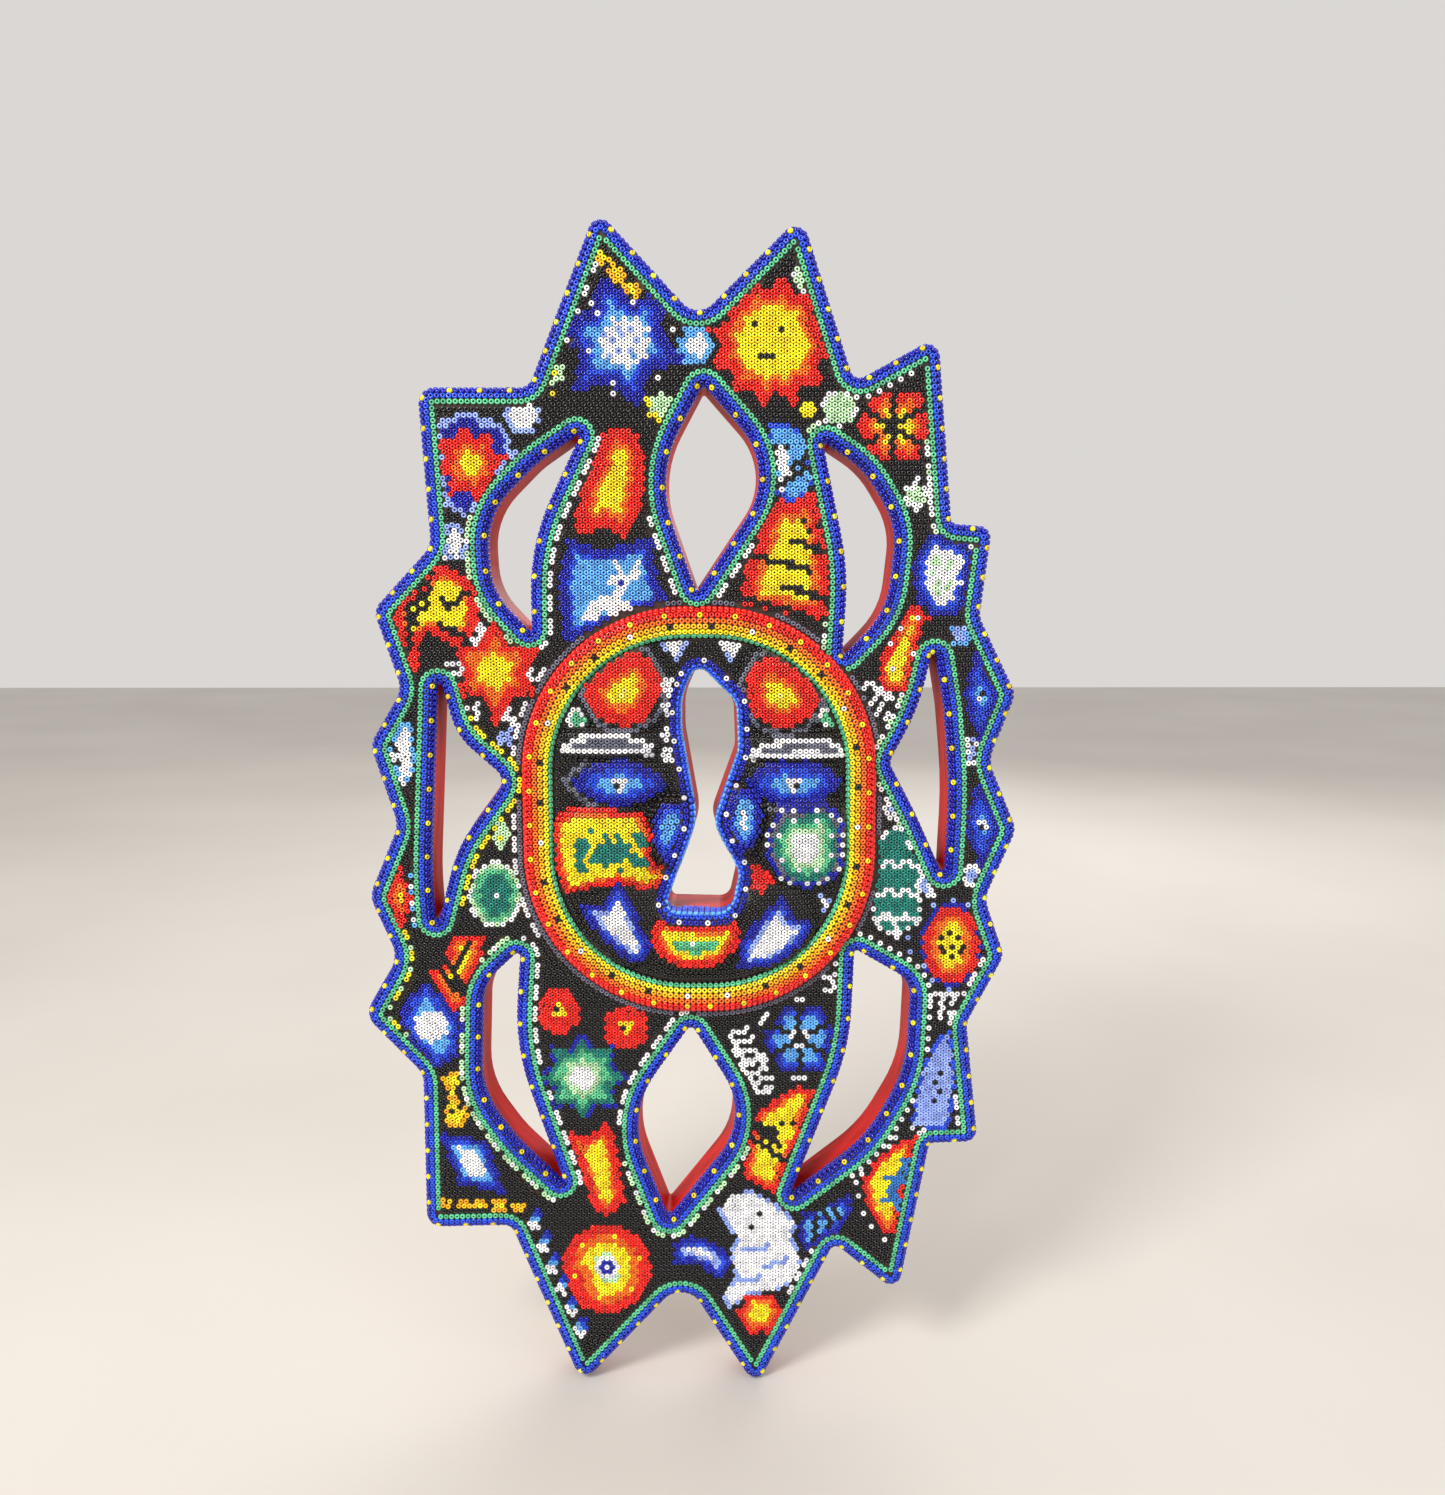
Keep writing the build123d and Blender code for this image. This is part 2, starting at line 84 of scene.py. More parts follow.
def lying(points):
    """Row frame, metres, to the flat working frame."""
    points = np.asarray(points, float) * (1000.0 / UNIT)
    return np.stack([points[..., 0], points[..., 2], -points[..., 1]], -1)


def standing(points):
    """The flat working frame to the row frame, metres."""
    return np.stack([points[..., 0], -points[..., 2], points[..., 1]], -1) * (UNIT / 1000.0)


def triangles(node):
    """A CAD node's corners and triangles in the flat frame, with corners at one place joined."""
    mesh = nodes[node].data
    mesh.calc_loop_triangles()
    co = np.empty(len(mesh.vertices) * 3, np.float32)
    mesh.vertices.foreach_get("co", co)
    tri = np.empty(len(mesh.loop_triangles) * 3, np.int32)
    mesh.loop_triangles.foreach_get("vertices", tri)
    co = lying(co.reshape(-1, 3))
    keys, first, same = np.unique(np.round(co, 3), axis=0, return_index=True, return_inverse=True)
    tri = same.reshape(-1)[tri].reshape(-1, 3)
    tri = tri[(tri[:, 0] != tri[:, 1]) & (tri[:, 1] != tri[:, 2]) & (tri[:, 0] != tri[:, 2])]
    return keys, tri


def facing_front(co, tri, least=0.25):
    """Only the triangles that face out of the panel's front."""
    normal = np.cross(co[tri[:, 1]] - co[tri[:, 0]], co[tri[:, 2]] - co[tri[:, 0]])
    length = np.linalg.norm(normal, axis=1)
    return tri[normal[:, 2] > least * np.maximum(length, 1e-9)]


def islands(tri, count):
    """A label for each triangle: those that hang together have the same one."""
    label = np.arange(count)
    while True:
        low = label[tri].min(1)
        new = label.copy()
        for k in range(3):
            np.minimum.at(new, tri[:, k], low)
        new = new[new]
        if np.array_equal(new, label):
            return label[tri[:, 0]]
        label = new


def border(co, tri, step=0.5):
    """Points along the outline of a set of triangles."""
    edges = np.sort(np.concatenate([tri[:, [0, 1]], tri[:, [1, 2]], tri[:, [2, 0]]]), 1)
    pairs, uses = np.unique(edges, axis=0, return_counts=True)
    points = []
    for a, b in co[pairs[uses == 1]]:
        count = max(1, int(np.linalg.norm(b - a) / step))
        share = (np.arange(count) / count)[:, None]
        points.append(a + (b - a) * share)
    return np.concatenate(points)


def tree_of(points):
    """A tree that finds the nearest of some points, which are flat if they have no height."""
    if points.shape[1] == 2:
        points = np.column_stack([points, np.zeros(len(points))])
    tree = KDTree(len(points))
    for i, point in enumerate(points):
        tree.insert(point, i)
    tree.balance()
    return tree


class Patch:
    """One bead picture: its outline, its middle, and a tree of its outline."""

    def __init__(self, co, tri):
        self.rim = border(co, tri)
        self.low = self.rim.min(0)
        self.high = self.rim.max(0)
        self.middle = (self.low + self.high) / 2
        self.tree = tree_of(self.rim[:, :2])


patches = {}
face_owner = []
all_co = []
all_tri = []
base = 0
for node in BEAD_NODES:
    co, tri = triangles(node)
    tri = facing_front(co, tri)
    label = islands(tri, len(co))
    found = []
    for one in np.unique(label):
        mine = tri[label == one]
        if np.ptp(co[mine].reshape(-1, 3), axis=0).max() > SLIVER:
            found.append((Patch(co, mine), mine))
    found.sort(key=lambda f: f[0].middle[0])
    patches[node] = [f[0] for f in found]
    for i, (patch, mine) in enumerate(found):
        all_tri.append(mine + base)
        face_owner.extend([(node, i)] * len(mine))
    all_co.append(co)
    base += len(co)
all_co = np.concatenate(all_co)
all_tri = np.concatenate(all_tri)
front = BVHTree.FromPolygons([tuple(c) for c in all_co], [tuple(int(k) for k in t) for t in all_tri])


# --- Outlines of the wood ---


def section(node, height):
    """Closed outlines where a CAD node is cut at that height."""
    co, tri = triangles(node)
    over = co[:, 2] - height
    above = over > 0
    place = {}
    links = {}
    for t in tri[above[tri].any(1) & ~above[tri].all(1)]:
        ends = []
        for a, b in ((t[0], t[1]), (t[1], t[2]), (t[2], t[0])):
            if above[a] != above[b]:
                key = (int(min(a, b)), int(max(a, b)))
                place[key] = (co[a] + (co[b] - co[a]) * over[a] / (over[a] - over[b]))[:2]
                ends.append(key)
        links.setdefault(ends[0], []).append(ends[1])
        links.setdefault(ends[1], []).append(ends[0])
    left = dict.fromkeys(links)
    loops = []
    while left:
        here = next(iter(left))
        loop = []
        while here is not None:
            loop.append(place[here])
            del left[here]
            here = next((n for n in links[here] if n in left), None)
        loops.append(np.array(loop))
    return [loop for loop in loops if len(loop) > 8]


def resampled(loop, step):
    """Evenly spaced points along a closed line."""
    closed = np.vstack([loop, loop[:1]])
    along = np.concatenate([[0.0], np.cumsum(np.linalg.norm(np.diff(closed, axis=0), axis=1))])
    count = max(3, round(along[-1] / step))
    at = np.arange(count) * along[-1] / count
    return np.stack([np.interp(at, along, closed[:, k]) for k in (0, 1)], 1)


low_corner, high_corner = (lying(corner) for corner in cad_box)
panel_low = np.minimum(low_corner, high_corner)
panel_size = np.abs(high_corner - low_corner)
GRID = 0.4
grid_us = panel_low[0] + GRID * np.arange(int(panel_size[0] / GRID) + 2)
grid_vs = panel_low[1] + GRID * np.arange(int(panel_size[1] / GRID) + 2)


def filled(loop):
    """A grid over the panel that is true within a closed line."""
    grid = np.zeros((len(grid_us), len(grid_vs)), bool)
    start = loop
    way = np.roll(loop, -1, 0) - loop
    for k, v in enumerate(grid_vs + 0.01):
        hit = (start[:, 1] > v) != (start[:, 1] + way[:, 1] > v)
        if hit.any():
            cross = start[hit, 0] + way[hit, 0] * (v - start[hit, 1]) / way[hit, 1]
            grid[:, k] = np.searchsorted(np.sort(cross), grid_us) % 2 == 1
    return grid


def within(points, grid):
    """Which points lie in the true part of a grid."""
    at = np.round((np.asarray(points)[:, :2] - panel_low[:2]) / GRID).astype(int)
    a = np.clip(at[:, 0], 0, grid.shape[0] - 1)
    b = np.clip(at[:, 1], 0, grid.shape[1] - 1)
    return grid[a, b]


class Edge:
    """An edge of the wood, with the way into the wood at each of its points."""

    def __init__(self, loop, wood_within):
        self.fine = resampled(loop, FINE_STEP)
        around = np.roll(self.fine, -2, 0) - np.roll(self.fine, 2, 0)
        around /= np.linalg.norm(around, axis=1)[:, None]
        u, v = self.fine.T
        area = np.sum(u * np.roll(v, -1) - v * np.roll(u, -1))
        side = 1.0 if (area > 0) == wood_within else -1.0
        self.into = np.stack([-around[:, 1], around[:, 0]], 1) * side
        self.middle = (self.fine.min(0) + self.fine.max(0)) / 2
        self.size = np.ptp(self.fine, axis=0).max()
        self.tree = tree_of(self.fine)

    def distance(self, points):
        """How far points are from this edge."""
        return np.array([self.tree.find((p[0], p[1], 0))[2] for p in points])

    def row(self, depth, pitch=PITCH):
        """Points of a row at that depth into the wood, and the way into it there."""
        line = self.fine + self.into * depth
        line = line[self.distance(line) >= abs(depth) - ROW_SLACK]
        points = resampled(line, pitch)
        ways = np.array([self.into[self.tree.find((p[0], p[1], 0))[1]] for p in points])
        return points, ways


wood = sorted((Edge(loop, True) for loop in section("carved_board", WALL_CUT)), key=lambda e: -e.size)
outer = wood[0]
slot_low, slot_high = (lying(corner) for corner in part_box("slot_rim_beads"))
slot_middle = ((slot_low + slot_high) / 2)[:2]
openings = [Edge(e.fine, False) for e in wood[1:]]
profile = min(openings, key=lambda e: np.linalg.norm(e.middle - slot_middle))
openings.remove(profile)
ring = max((Edge(loop, True) for loop in section("ring_moulding", RING_CUT)), key=lambda e: e.size)
ring_grid = filled(ring.fine)

rim_nodes = ("almond_rims", "upper_crescent_rims", "lower_crescent_rims", "side_slot_rims")


def rim_node(edge):
    """The CAD node whose beads line an opening."""
    def gap(node):
        return min(np.linalg.norm(p.middle[:2] - edge.middle) for p in patches[node])
    return min(rim_nodes, key=gap)


# --- Beads ---

def under(u, v):
    """Height and normal of the CAD's bead layer there, and whose it is."""
    place, normal, index, _ = front.ray_cast(Vector((u, v, 100.0)), Vector((0, 0, -1)))
    if place is None:
        return None, None, None
    return place.z, normal, face_owner[index]


def is_edge(point, owner, reach=0.6):
    """True if a picture ends at that point, and it is not only a seam within it."""
    for k in range(8):
        a = math.pi * k / 4
        if under(point[0] + reach * math.cos(a), point[1] + reach * math.sin(a))[2] != owner:
            return True
    return False


CURVED = 0.2     # a picture that rises that far over the flat is on the mask, with seams in it
for node in BEAD_NODES:
    for number, patch in enumerate(patches[node]):
        if patch.high[2] > FLAT_TOP + CURVED:
            patch.rim = np.array([p for p in patch.rim if is_edge(p, (node, number))])
            patch.tree = tree_of(patch.rim[:, :2])


def share(point):
    """Where a point lies on the panel, from 0 to 1 across and up."""
    return (point[0] - panel_low[0]) / panel_size[0], (point[1] - panel_low[1]) / panel_size[1]


mids = []        # middle of each bead
axes = []        # the way its hole faces
colours = []     # its letter in COLOURS
owners = []      # the CAD node it stands for
cells = {}       # numbers of the beads in each cube of space, PITCH wide


def cell_of(point):
    """The cube of space that a point lies in."""
    return tuple(int(math.floor(c / PITCH)) for c in point)


def clear(point, least):
    """True if no bead is nearer than that."""
    key = cell_of(point)
    for du in (-1, 0, 1):
        for dv in (-1, 0, 1):
            for dh in (-1, 0, 1):
                for i in cells.get((key[0] + du, key[1] + dv, key[2] + dh), ()):
                    if math.dist(mids[i], point) < least:
                        return False
    return True


def add_bead(point, axis, colour, owner, least=0.84 * PITCH):
    """One bead, unless another is in its place."""
    point = tuple(float(c) for c in point)
    if clear(point, least):
        cells.setdefault(cell_of(point), []).append(len(mids))
        mids.append(point)
        axes.append(tuple(float(c) for c in axis))
        colours.append(colour)
        owners.append(owner)


ACROSS = 3.3            # from row to row
RIM_RADIUS = EDGE + WAX + BEAD_MID
RIM_START = -2.9        # the lowest row lies that far down the wall
RIM_COLOURS = "NNNBG"   # from the wall to the flat
ACCENT_ROW = 2          # the row with single yellow beads: one in five along the outer edge
OUTER_ACCENT = 5
OPENING_ACCENT = 6      # and one in six along an opening
RING_GAP = 2.7          # how far from the ring the rows end


def leaning(way, tilt):
    """The way that a bead's hole faces at the edge, from out of the wall to out of the front."""
    return -way[0] * math.cos(tilt), -way[1] * math.cos(tilt), math.sin(tilt)


def over_rounding(along, foot, bend, radius, flat=math.inf):
    """Depth into the wood, height and tilt of a row that lies that far along a rounded edge."""
    arc = radius * math.pi / 2
    if along < 0:
        return bend - radius, foot + along, 0.0
    if along <= arc:
        turn = along / radius
        return bend - radius * math.cos(turn), foot + radius * math.sin(turn), turn
    if along <= arc + flat:
        return bend + along - arc, foot + radius, math.pi / 2
    turn = (along - arc - flat) / radius
    return bend + flat + radius * math.sin(turn), foot + radius * math.cos(turn), math.pi / 2 + turn


# Groups of beads in the row beside the rims: which part of the panel, as its low and high
# corner in shares of the panel's size, which way out of the panel or of the opening, and the
# colours along the row.
GROUPS = {
    "outer_rim_beads": [
        ((0.27, 0.90, 0.375, 0.99), (-1, 0.2), "WWKK"),
        ((0.85, 0.74, 0.97, 0.90), (1, 0), "WLWWK"),
        ((0.74, 0.86, 0.86, 0.93), (0, 1), "WK"),
        ((0.0, 0.31, 0.09, 0.42), (-1, 0), "YYLK"),
        ((0.86, 0.22, 1.0, 0.42), (1, 0), "WWWK"),
        ((0.56, 0.08, 0.70, 0.20), (1, 0), "WWK"),
    ],
    "upper_crescent_rims": [
        ((0.0, 0.5, 0.245, 1.0), (-1, 0.4), "L"),
        ((0.2, 0.5, 0.40, 0.86), (1, 0), "WWWK"),
        ((0.6, 0.5, 0.78, 0.9), (-1, 0), "WLLK"),
    ],
    "lower_crescent_rims": [
        ((0.0, 0.0, 0.40, 0.42), (-1, 0), "LLWLK"),
        ((0.15, 0.0, 0.45, 0.42), (1, 0), "WWWK"),
        ((0.70, 0.25, 1.0, 0.42), (0.6, 1), "WK"),
        ((0.55, 0.37, 0.76, 0.42), (-1, 0), "WK"),
        ((0.75, 0.15, 1.0, 0.27), (1, -1), "WK"),
    ],
    "almond_rims": [
        ((0.3, 0.70, 0.7, 0.80), (0, -1), "WWWK"),
        ((0.3, 0.13, 0.7, 0.30), (0, -1), "WLLK"),
        ((0.3, 0.24, 0.5, 0.37), (-1, 0.3), "WWWK"),
    ],
    "side_slot_rims": [
        ((0.15, 0.3, 0.4, 0.66), (1, 0), "YYYK"),
        ((0.05, 0.36, 0.17, 0.47), (-1, 0), "WSK"),
        ((0.6, 0.5, 0.85, 0.68), (-1, 0), "WLWK"),
    ],
}


def group_colour(node, point, way, index):
    """Colour of a bead in the row beside a rim."""
    u, v = share(point)
    for (u0, v0, u1, v1), (du, dv), pattern in GROUPS[node]:
        inside = u0 <= u <= u1 and v0 <= v <= v1
        if inside and du * way[0] + dv * way[1] > 0.25 * math.hypot(du, dv):
            return pattern[index % len(pattern)]
    return None


def line_edge(edge, node, others, sign, accent):
    """The rows of beads that roll over one edge of the board."""
    for k in range(len(RIM_COLOURS) + 1):
        depth, height, tilt = over_rounding(RIM_START + ACROSS * k, EDGE_FOOT, EDGE, RIM_RADIUS)
        points, ways = edge.row(depth)
        gaps = np.full(len(points), np.inf)
        for other in others:
            gaps = np.minimum(gaps, other.distance(points))
        near_ring = ring.distance(points)
        over_ring = within(points, ring_grid) | (near_ring < RING_GAP)
        for i, (point, way) in enumerate(zip(points, ways)):
            # A row stops at the ring, and where another edge is nearer than its own.
            if over_ring[i] or gaps[i] < max(depth - 0.3, 1.0):
                continue
            axis = leaning(way, tilt)
            if k < len(RIM_COLOURS):
                colour = "Y" if k == ACCENT_ROW and i % accent == 0 else RIM_COLOURS[k]
                add_bead((*point, height), axis, colour, node)
                continue
            colour = group_colour(node, point, -way * sign, i)
            owner = under(*point)[2]
            if colour and owner and owner[0] == "ground_beads":
                add_bead((*point, height), axis, colour, "ground_beads")


edges = [outer] + openings
for edge in edges:
    others = [e for e in edges if e is not edge]
    if edge is outer:
        line_edge(edge, "outer_rim_beads", others, 1, OUTER_ACCENT)
    else:
        line_edge(edge, rim_node(edge), others, -1, OPENING_ACCENT)

# The ring: rows over a half-round moulding.
RING_BEND = 6.0         # its two roundings
RING_FLAT = 2.9         # its flat top between them
RING_FOOT = 29.0        # height where the roundings begin
RING_START = 1.3        # how far up its side the first row lies
RING_RADIUS = RING_BEND + WAX + BEAD_MID
RING_COLOURS = "RRROAYGK"


def ring_colour(row, index):
    """Colour of a bead of the ring, with single beads in its third and fifth rows."""
    if row == 2 and index % 6 == 0:
        return "Y"
    if row == 4 and index % 7 == 0:
        return "K" if index % 21 else "W"
    return RING_COLOURS[row]


for k in range(len(RING_COLOURS)):
    depth, height, tilt = over_rounding(
        RING_START + ACROSS * k, RING_FOOT, RING_BEND, RING_RADIUS, RING_FLAT)
    points, ways = ring.row(depth)
    for i, (point, way) in enumerate(zip(points, ways)):
        add_bead((*point, height), leaning(way, tilt), ring_colour(k, i), "ring_beads")

# Rows on the board beside the ring: depth, colours, and how far across the panel.
for depth, pattern, reach in ((-4.2, "C", 1.0), (-7.6, "WWWK", 0.27)):
    for i, point in enumerate(ring.row(depth)[0]):
        owner = under(*point)[2]
        if owner and owner[0] == "ground_beads" and share(point)[0] < reach:
            add_bead((*point, FLAT_MID), (0, 0, 1), pattern[i % len(pattern)], "ground_beads")

# The slot in the mask: a row on top, one on the corner, and rows down its wall.
SLOT_ROWS = ((3.6, "N", 0.0), (0.2, "B", 0.8))     # depth, colour and lean towards the slot
SLOT_ACCENT = 5         # every fifth bead of the first row is white
SLOT_CORNER = 0.5       # the mask's height is read at least that far from its edge
for depth, colour, lean in SLOT_ROWS:
    points, ways = profile.row(depth)
    for i, (point, way) in enumerate(zip(points, ways)):
        height, normal, _ = under(*(point + way * max(0.0, SLOT_CORNER - depth)))
        if height is None:
            continue
        axis = Vector((-way[0] * lean, -way[1] * lean, 0.0)) + normal
        axis.normalize()
        own = "W" if colour == "N" and i % SLOT_ACCENT == 0 else colour
        add_bead((*point, height - BEAD_MID), axis, own, "slot_rim_beads")

WALL_MID = -1.1         # depth of the middles of the beads on the slot's wall
WALL_READ = 1.6         # the mask's height is read that far from them
WALL_DROP = 3.8         # the first row on the wall lies that far under it
WALL_LIGHT = 5.0        # rows above that drop are light blue
MASK_TOP = 31.0         # height of the mask where none can be read
points, ways = profile.row(WALL_MID)
for point, way in zip(points, ways):
    height = under(*(point + way * WALL_READ))[0] or MASK_TOP
    level = height - WALL_DROP
    while level > WALL_CUT:
        colour = "S" if level > height - WALL_LIGHT else "B"
        add_bead((*point, level), (-way[0], -way[1], 0.0), colour, "slot_rim_beads")
        level -= ACROSS


# --- Free beads: everything between the rows ---


def near_pairs(points, reach):
    """Pairs of points whose cells touch, from a grid of cells of that size."""
    stride = 100003
    cell = np.floor(points[:, :2] / reach).astype(np.int64)
    key = cell[:, 0] * stride + cell[:, 1]
    order = np.argsort(key, kind="stable")
    ordered = key[order]
    firsts = []
    seconds = []
    for step in (0, 1, stride - 1, stride, stride + 1):
        low = np.searchsorted(ordered, key + step, "left")
        count = np.searchsorted(ordered, key + step, "right") - low
        first = np.repeat(np.arange(len(points)), count)
        begin = np.repeat(np.cumsum(count) - count, count)
        second = order[np.repeat(low, count) + np.arange(len(first)) - begin]
        if step == 0:
            keep = first < second
            first = first[keep]
            second = second[keep]
        firsts.append(first)
        seconds.append(second)
    return np.concatenate(firsts), np.concatenate(seconds)


def crowded(points, fixed, target):
    """How far the free points, those from number fixed on, are pushed by their neighbours."""
    i, j = near_pairs(points, target)
    apart = points[j] - points[i]
    gap = np.maximum(np.linalg.norm(apart, axis=1), 1e-6)
    short = target - gap
    keep = (short > 0) & ((i >= fixed) | (j >= fixed))
    i, j, apart, gap, short = i[keep], j[keep], apart[keep], gap[keep], short[keep]
    share_i = np.where(j < fixed, 1.0, 0.5) * (i >= fixed)
    share_j = np.where(i < fixed, 1.0, 0.5) * (j >= fixed)
    push = apart / gap[:, None] * short[:, None]
    moved = np.zeros_like(points)
    for k in range(2):
        moved[:, k] -= np.bincount(i, push[:, k] * share_i, len(points))
        moved[:, k] += np.bincount(j, push[:, k] * share_j, len(points))
    return moved


# How high the middles of beads lie over the mask, read from the CAD on a grid.
STEP = 0.6                                       # spacing of the grid
RING_IN = 2 * RING_BEND + RING_FLAT + 0.9        # depth of the ring's inner edge
mask_low = ring.fine.min(0)
mask_count = (np.ptp(ring.fine, axis=0) / STEP).astype(int) + 2
mask_height = np.full(mask_count, FLAT_MID)
for a in range(mask_count[0]):
    for b in range(mask_count[1]):
        found = under(mask_low[0] + a * STEP, mask_low[1] + b * STEP)
        if found[0] is not None:
            mask_height[a, b] = found[0] - BEAD_MID


def height_at(points):
    """Height of the middles of beads at those places."""
    at = (points - mask_low) / STEP
    whole = np.floor(at).astype(int)
    on = (whole >= 0).all(1) & (whole < mask_count - 1).all(1)
    result = np.full(len(points), FLAT_MID)
    a, b = whole[on].T
    s, t = (at[on] - whole[on]).T
    result[on] = (mask_height[a, b] * (1 - s) * (1 - t) + mask_height[a + 1, b] * s * (1 - t)
                  + mask_height[a, b + 1] * (1 - s) * t + mask_height[a + 1, b + 1] * s * t)
    return result


def raised(points):
    """Places, with the height that the middle of a bead has there."""
    return np.column_stack([points, height_at(points)])


def covered(edge, depth):
    """A grid that is true within the line at that depth from an edge."""
    return filled(edge.row(depth, 1.0)[0])


# Depths where the free beads begin: into the wood from an edge of the board or of the slot,
# and into the ring from its outer edge.
RIM_MARGIN = 7.9
RING_MARGIN = -5.6
MASK_MARGIN = RING_IN + 1.8
SLOT_MARGIN = 5.2
ground_grid = covered(outer, RIM_MARGIN) & ~covered(ring, RING_MARGIN)
for edge in openings:
    ground_grid &= ~covered(edge, RIM_MARGIN)
ground_grid |= covered(ring, MASK_MARGIN) & ~covered(profile, SLOT_MARGIN)


def lattice(pitch):
    """Rows of points over the whole panel, every other row shifted by half a step."""
    rise = pitch * math.sqrt(3) / 2
    us = np.arange(panel_low[0], panel_low[0] + panel_size[0], pitch)
    vs = np.arange(panel_low[1], panel_low[1] + panel_size[1], rise)
    grid = np.stack(np.meshgrid(us, vs), -1)
    grid[1::2, :, 0] += pitch / 2
    return grid.reshape(-1, 2)


def relaxed(free, rounds, target=0.995 * PITCH):
    """Free points pushed apart among the fixed beads."""
    fixed = np.array(mids)
    for _ in range(rounds):
        points = np.vstack([fixed, raised(free)])
        free = free + 0.7 * crowded(points, len(fixed), target)[len(fixed):, :2]
    return free


def thinned(free, least):
    """Free points without those that still crowd a neighbour."""
    fixed = len(mids)
    points = np.vstack([np.array(mids), raised(free)])
    i, j = near_pairs(points, PITCH)
    close = np.linalg.norm(points[i] - points[j], axis=1) < least
    drop = np.zeros(len(points), bool)
    for a, b in zip(i[close], j[close]):
        if a < fixed and b < fixed or drop[a] or drop[b]:
            continue
        drop[max(a, b)] = True
    return free[~drop[fixed:]]


def holes(free, widest):
    """Places where one more bead fits."""
    spots = lattice(0.3 * PITCH)
    spots = raised(spots[within(spots, ground_grid)])
    points = np.vstack([np.array(mids), raised(free)])
    tree = tree_of(points)
    gaps = np.array([tree.find(s)[2] for s in spots])
    taken = {}
    found = []
    for n in np.argsort(-gaps, kind="stable"):
        if gaps[n] < widest:
            break
        a, b = (int(c // PITCH) for c in spots[n][:2])
        near = [f for da in (-1, 0, 1) for db in (-1, 0, 1) for f in taken.get((a + da, b + db), ())]
        if all(math.dist(spots[n], f) > 0.8 * PITCH for f in near):
            taken.setdefault((a, b), []).append(spots[n])
            found.append(spots[n])
    return np.array(found).reshape(-1, 3)[:, :2]


# A lattice is shaken a little and relaxed. Then beads go into the gaps that are left, twice,
# and those that still crowd a neighbour are taken out.
free = lattice(PITCH)
free = free[within(free, ground_grid)]
free += rng.normal(0.0, 0.02 * PITCH, free.shape)
free = thinned(free, 0.63 * PITCH)
free = relaxed(free, 30)
for widest in (0.81 * PITCH, 0.85 * PITCH):
    free = np.vstack([free, holes(free, widest)])
    free = relaxed(free, 24)
free = thinned(free, 0.82 * PITCH)

# --- Bead pictures ---
# Colours are one letter each, as in COLOURS below. A picture is the colours of its rows
# from its outline in, and strokes over them: colour, half width and points, in units
# from the picture's middle. Only a star within a picture has rows of its own.
THIN = 1.8             # half width of a stroke one bead wide
DOT = 2.0              # a stroke of one point and less than that half width is a single bead


def arms(count, start, end, turn=90.0):
    """Spokes around the middle."""
    lines = []
    for i in range(count):
        a = math.radians(turn + 360.0 * i / count)
        lines.append([(start * math.cos(a), start * math.sin(a)), (end * math.cos(a), end * math.sin(a))])
    return lines


def dots(count, reach, turn=90.0):
    """Single beads around the middle."""
    return [[line[0]] for line in arms(count, reach, reach, turn)]


def strokes(colour, half, lines):
    """Strokes of one colour and width."""
    return [(colour, half, line) for line in lines]


def fine(colour, *lines):
    """Strokes one bead wide."""
    return strokes(colour, THIN, lines)


def plain(*pictures):
    """Pictures of rows only, from the node's leftmost to its rightmost."""
    return [(rows, []) for rows in pictures]


def snowflake(reach):
    """Six arms with a fork on each."""
    lines = arms(6, 0.0, reach)
    for i in range(6):
        a = math.radians(90.0 + 60.0 * i)
        knee = (0.55 * reach * math.cos(a), 0.55 * reach * math.sin(a))
        for side in (-0.7, 0.7):
            tip = (0.95 * reach * math.cos(a + side * 0.7), 0.95 * reach * math.sin(a + side * 0.7))
            lines.append([knee, tip])
    return fine("W", *lines)


def star_line(points, long, short, turn=90.0, at=(0.0, 0.0)):
    """Corners of a star."""
    corners = []
    for i in range(2 * points):
        a = math.radians(turn + 180.0 * i / points)
        reach = short if i % 2 else long
        corners.append((at[0] + reach * math.cos(a), at[1] + reach * math.sin(a)))
    return np.array(corners)


def rake(teeth, length, turn):
    """A bar and its teeth, all one bead wide, with a bead between one tooth and the next."""
    reach = (teeth - 1) * PITCH
    lines = [[(-reach, -length / 2), (reach, -length / 2)]]
    for i in range(teeth):
        x = 2 * i * PITCH - reach
        lines.append([(x, -length / 2), (x, length / 2)])
    cos, sin = math.cos(math.radians(turn)), math.sin(math.radians(turn))
    turned = [[(x * cos - y * sin, x * sin + y * cos) for x, y in line] for line in lines]
    return strokes("W", 1.75, turned)


EYE = [("K", 1.9, [(0, 0)])]

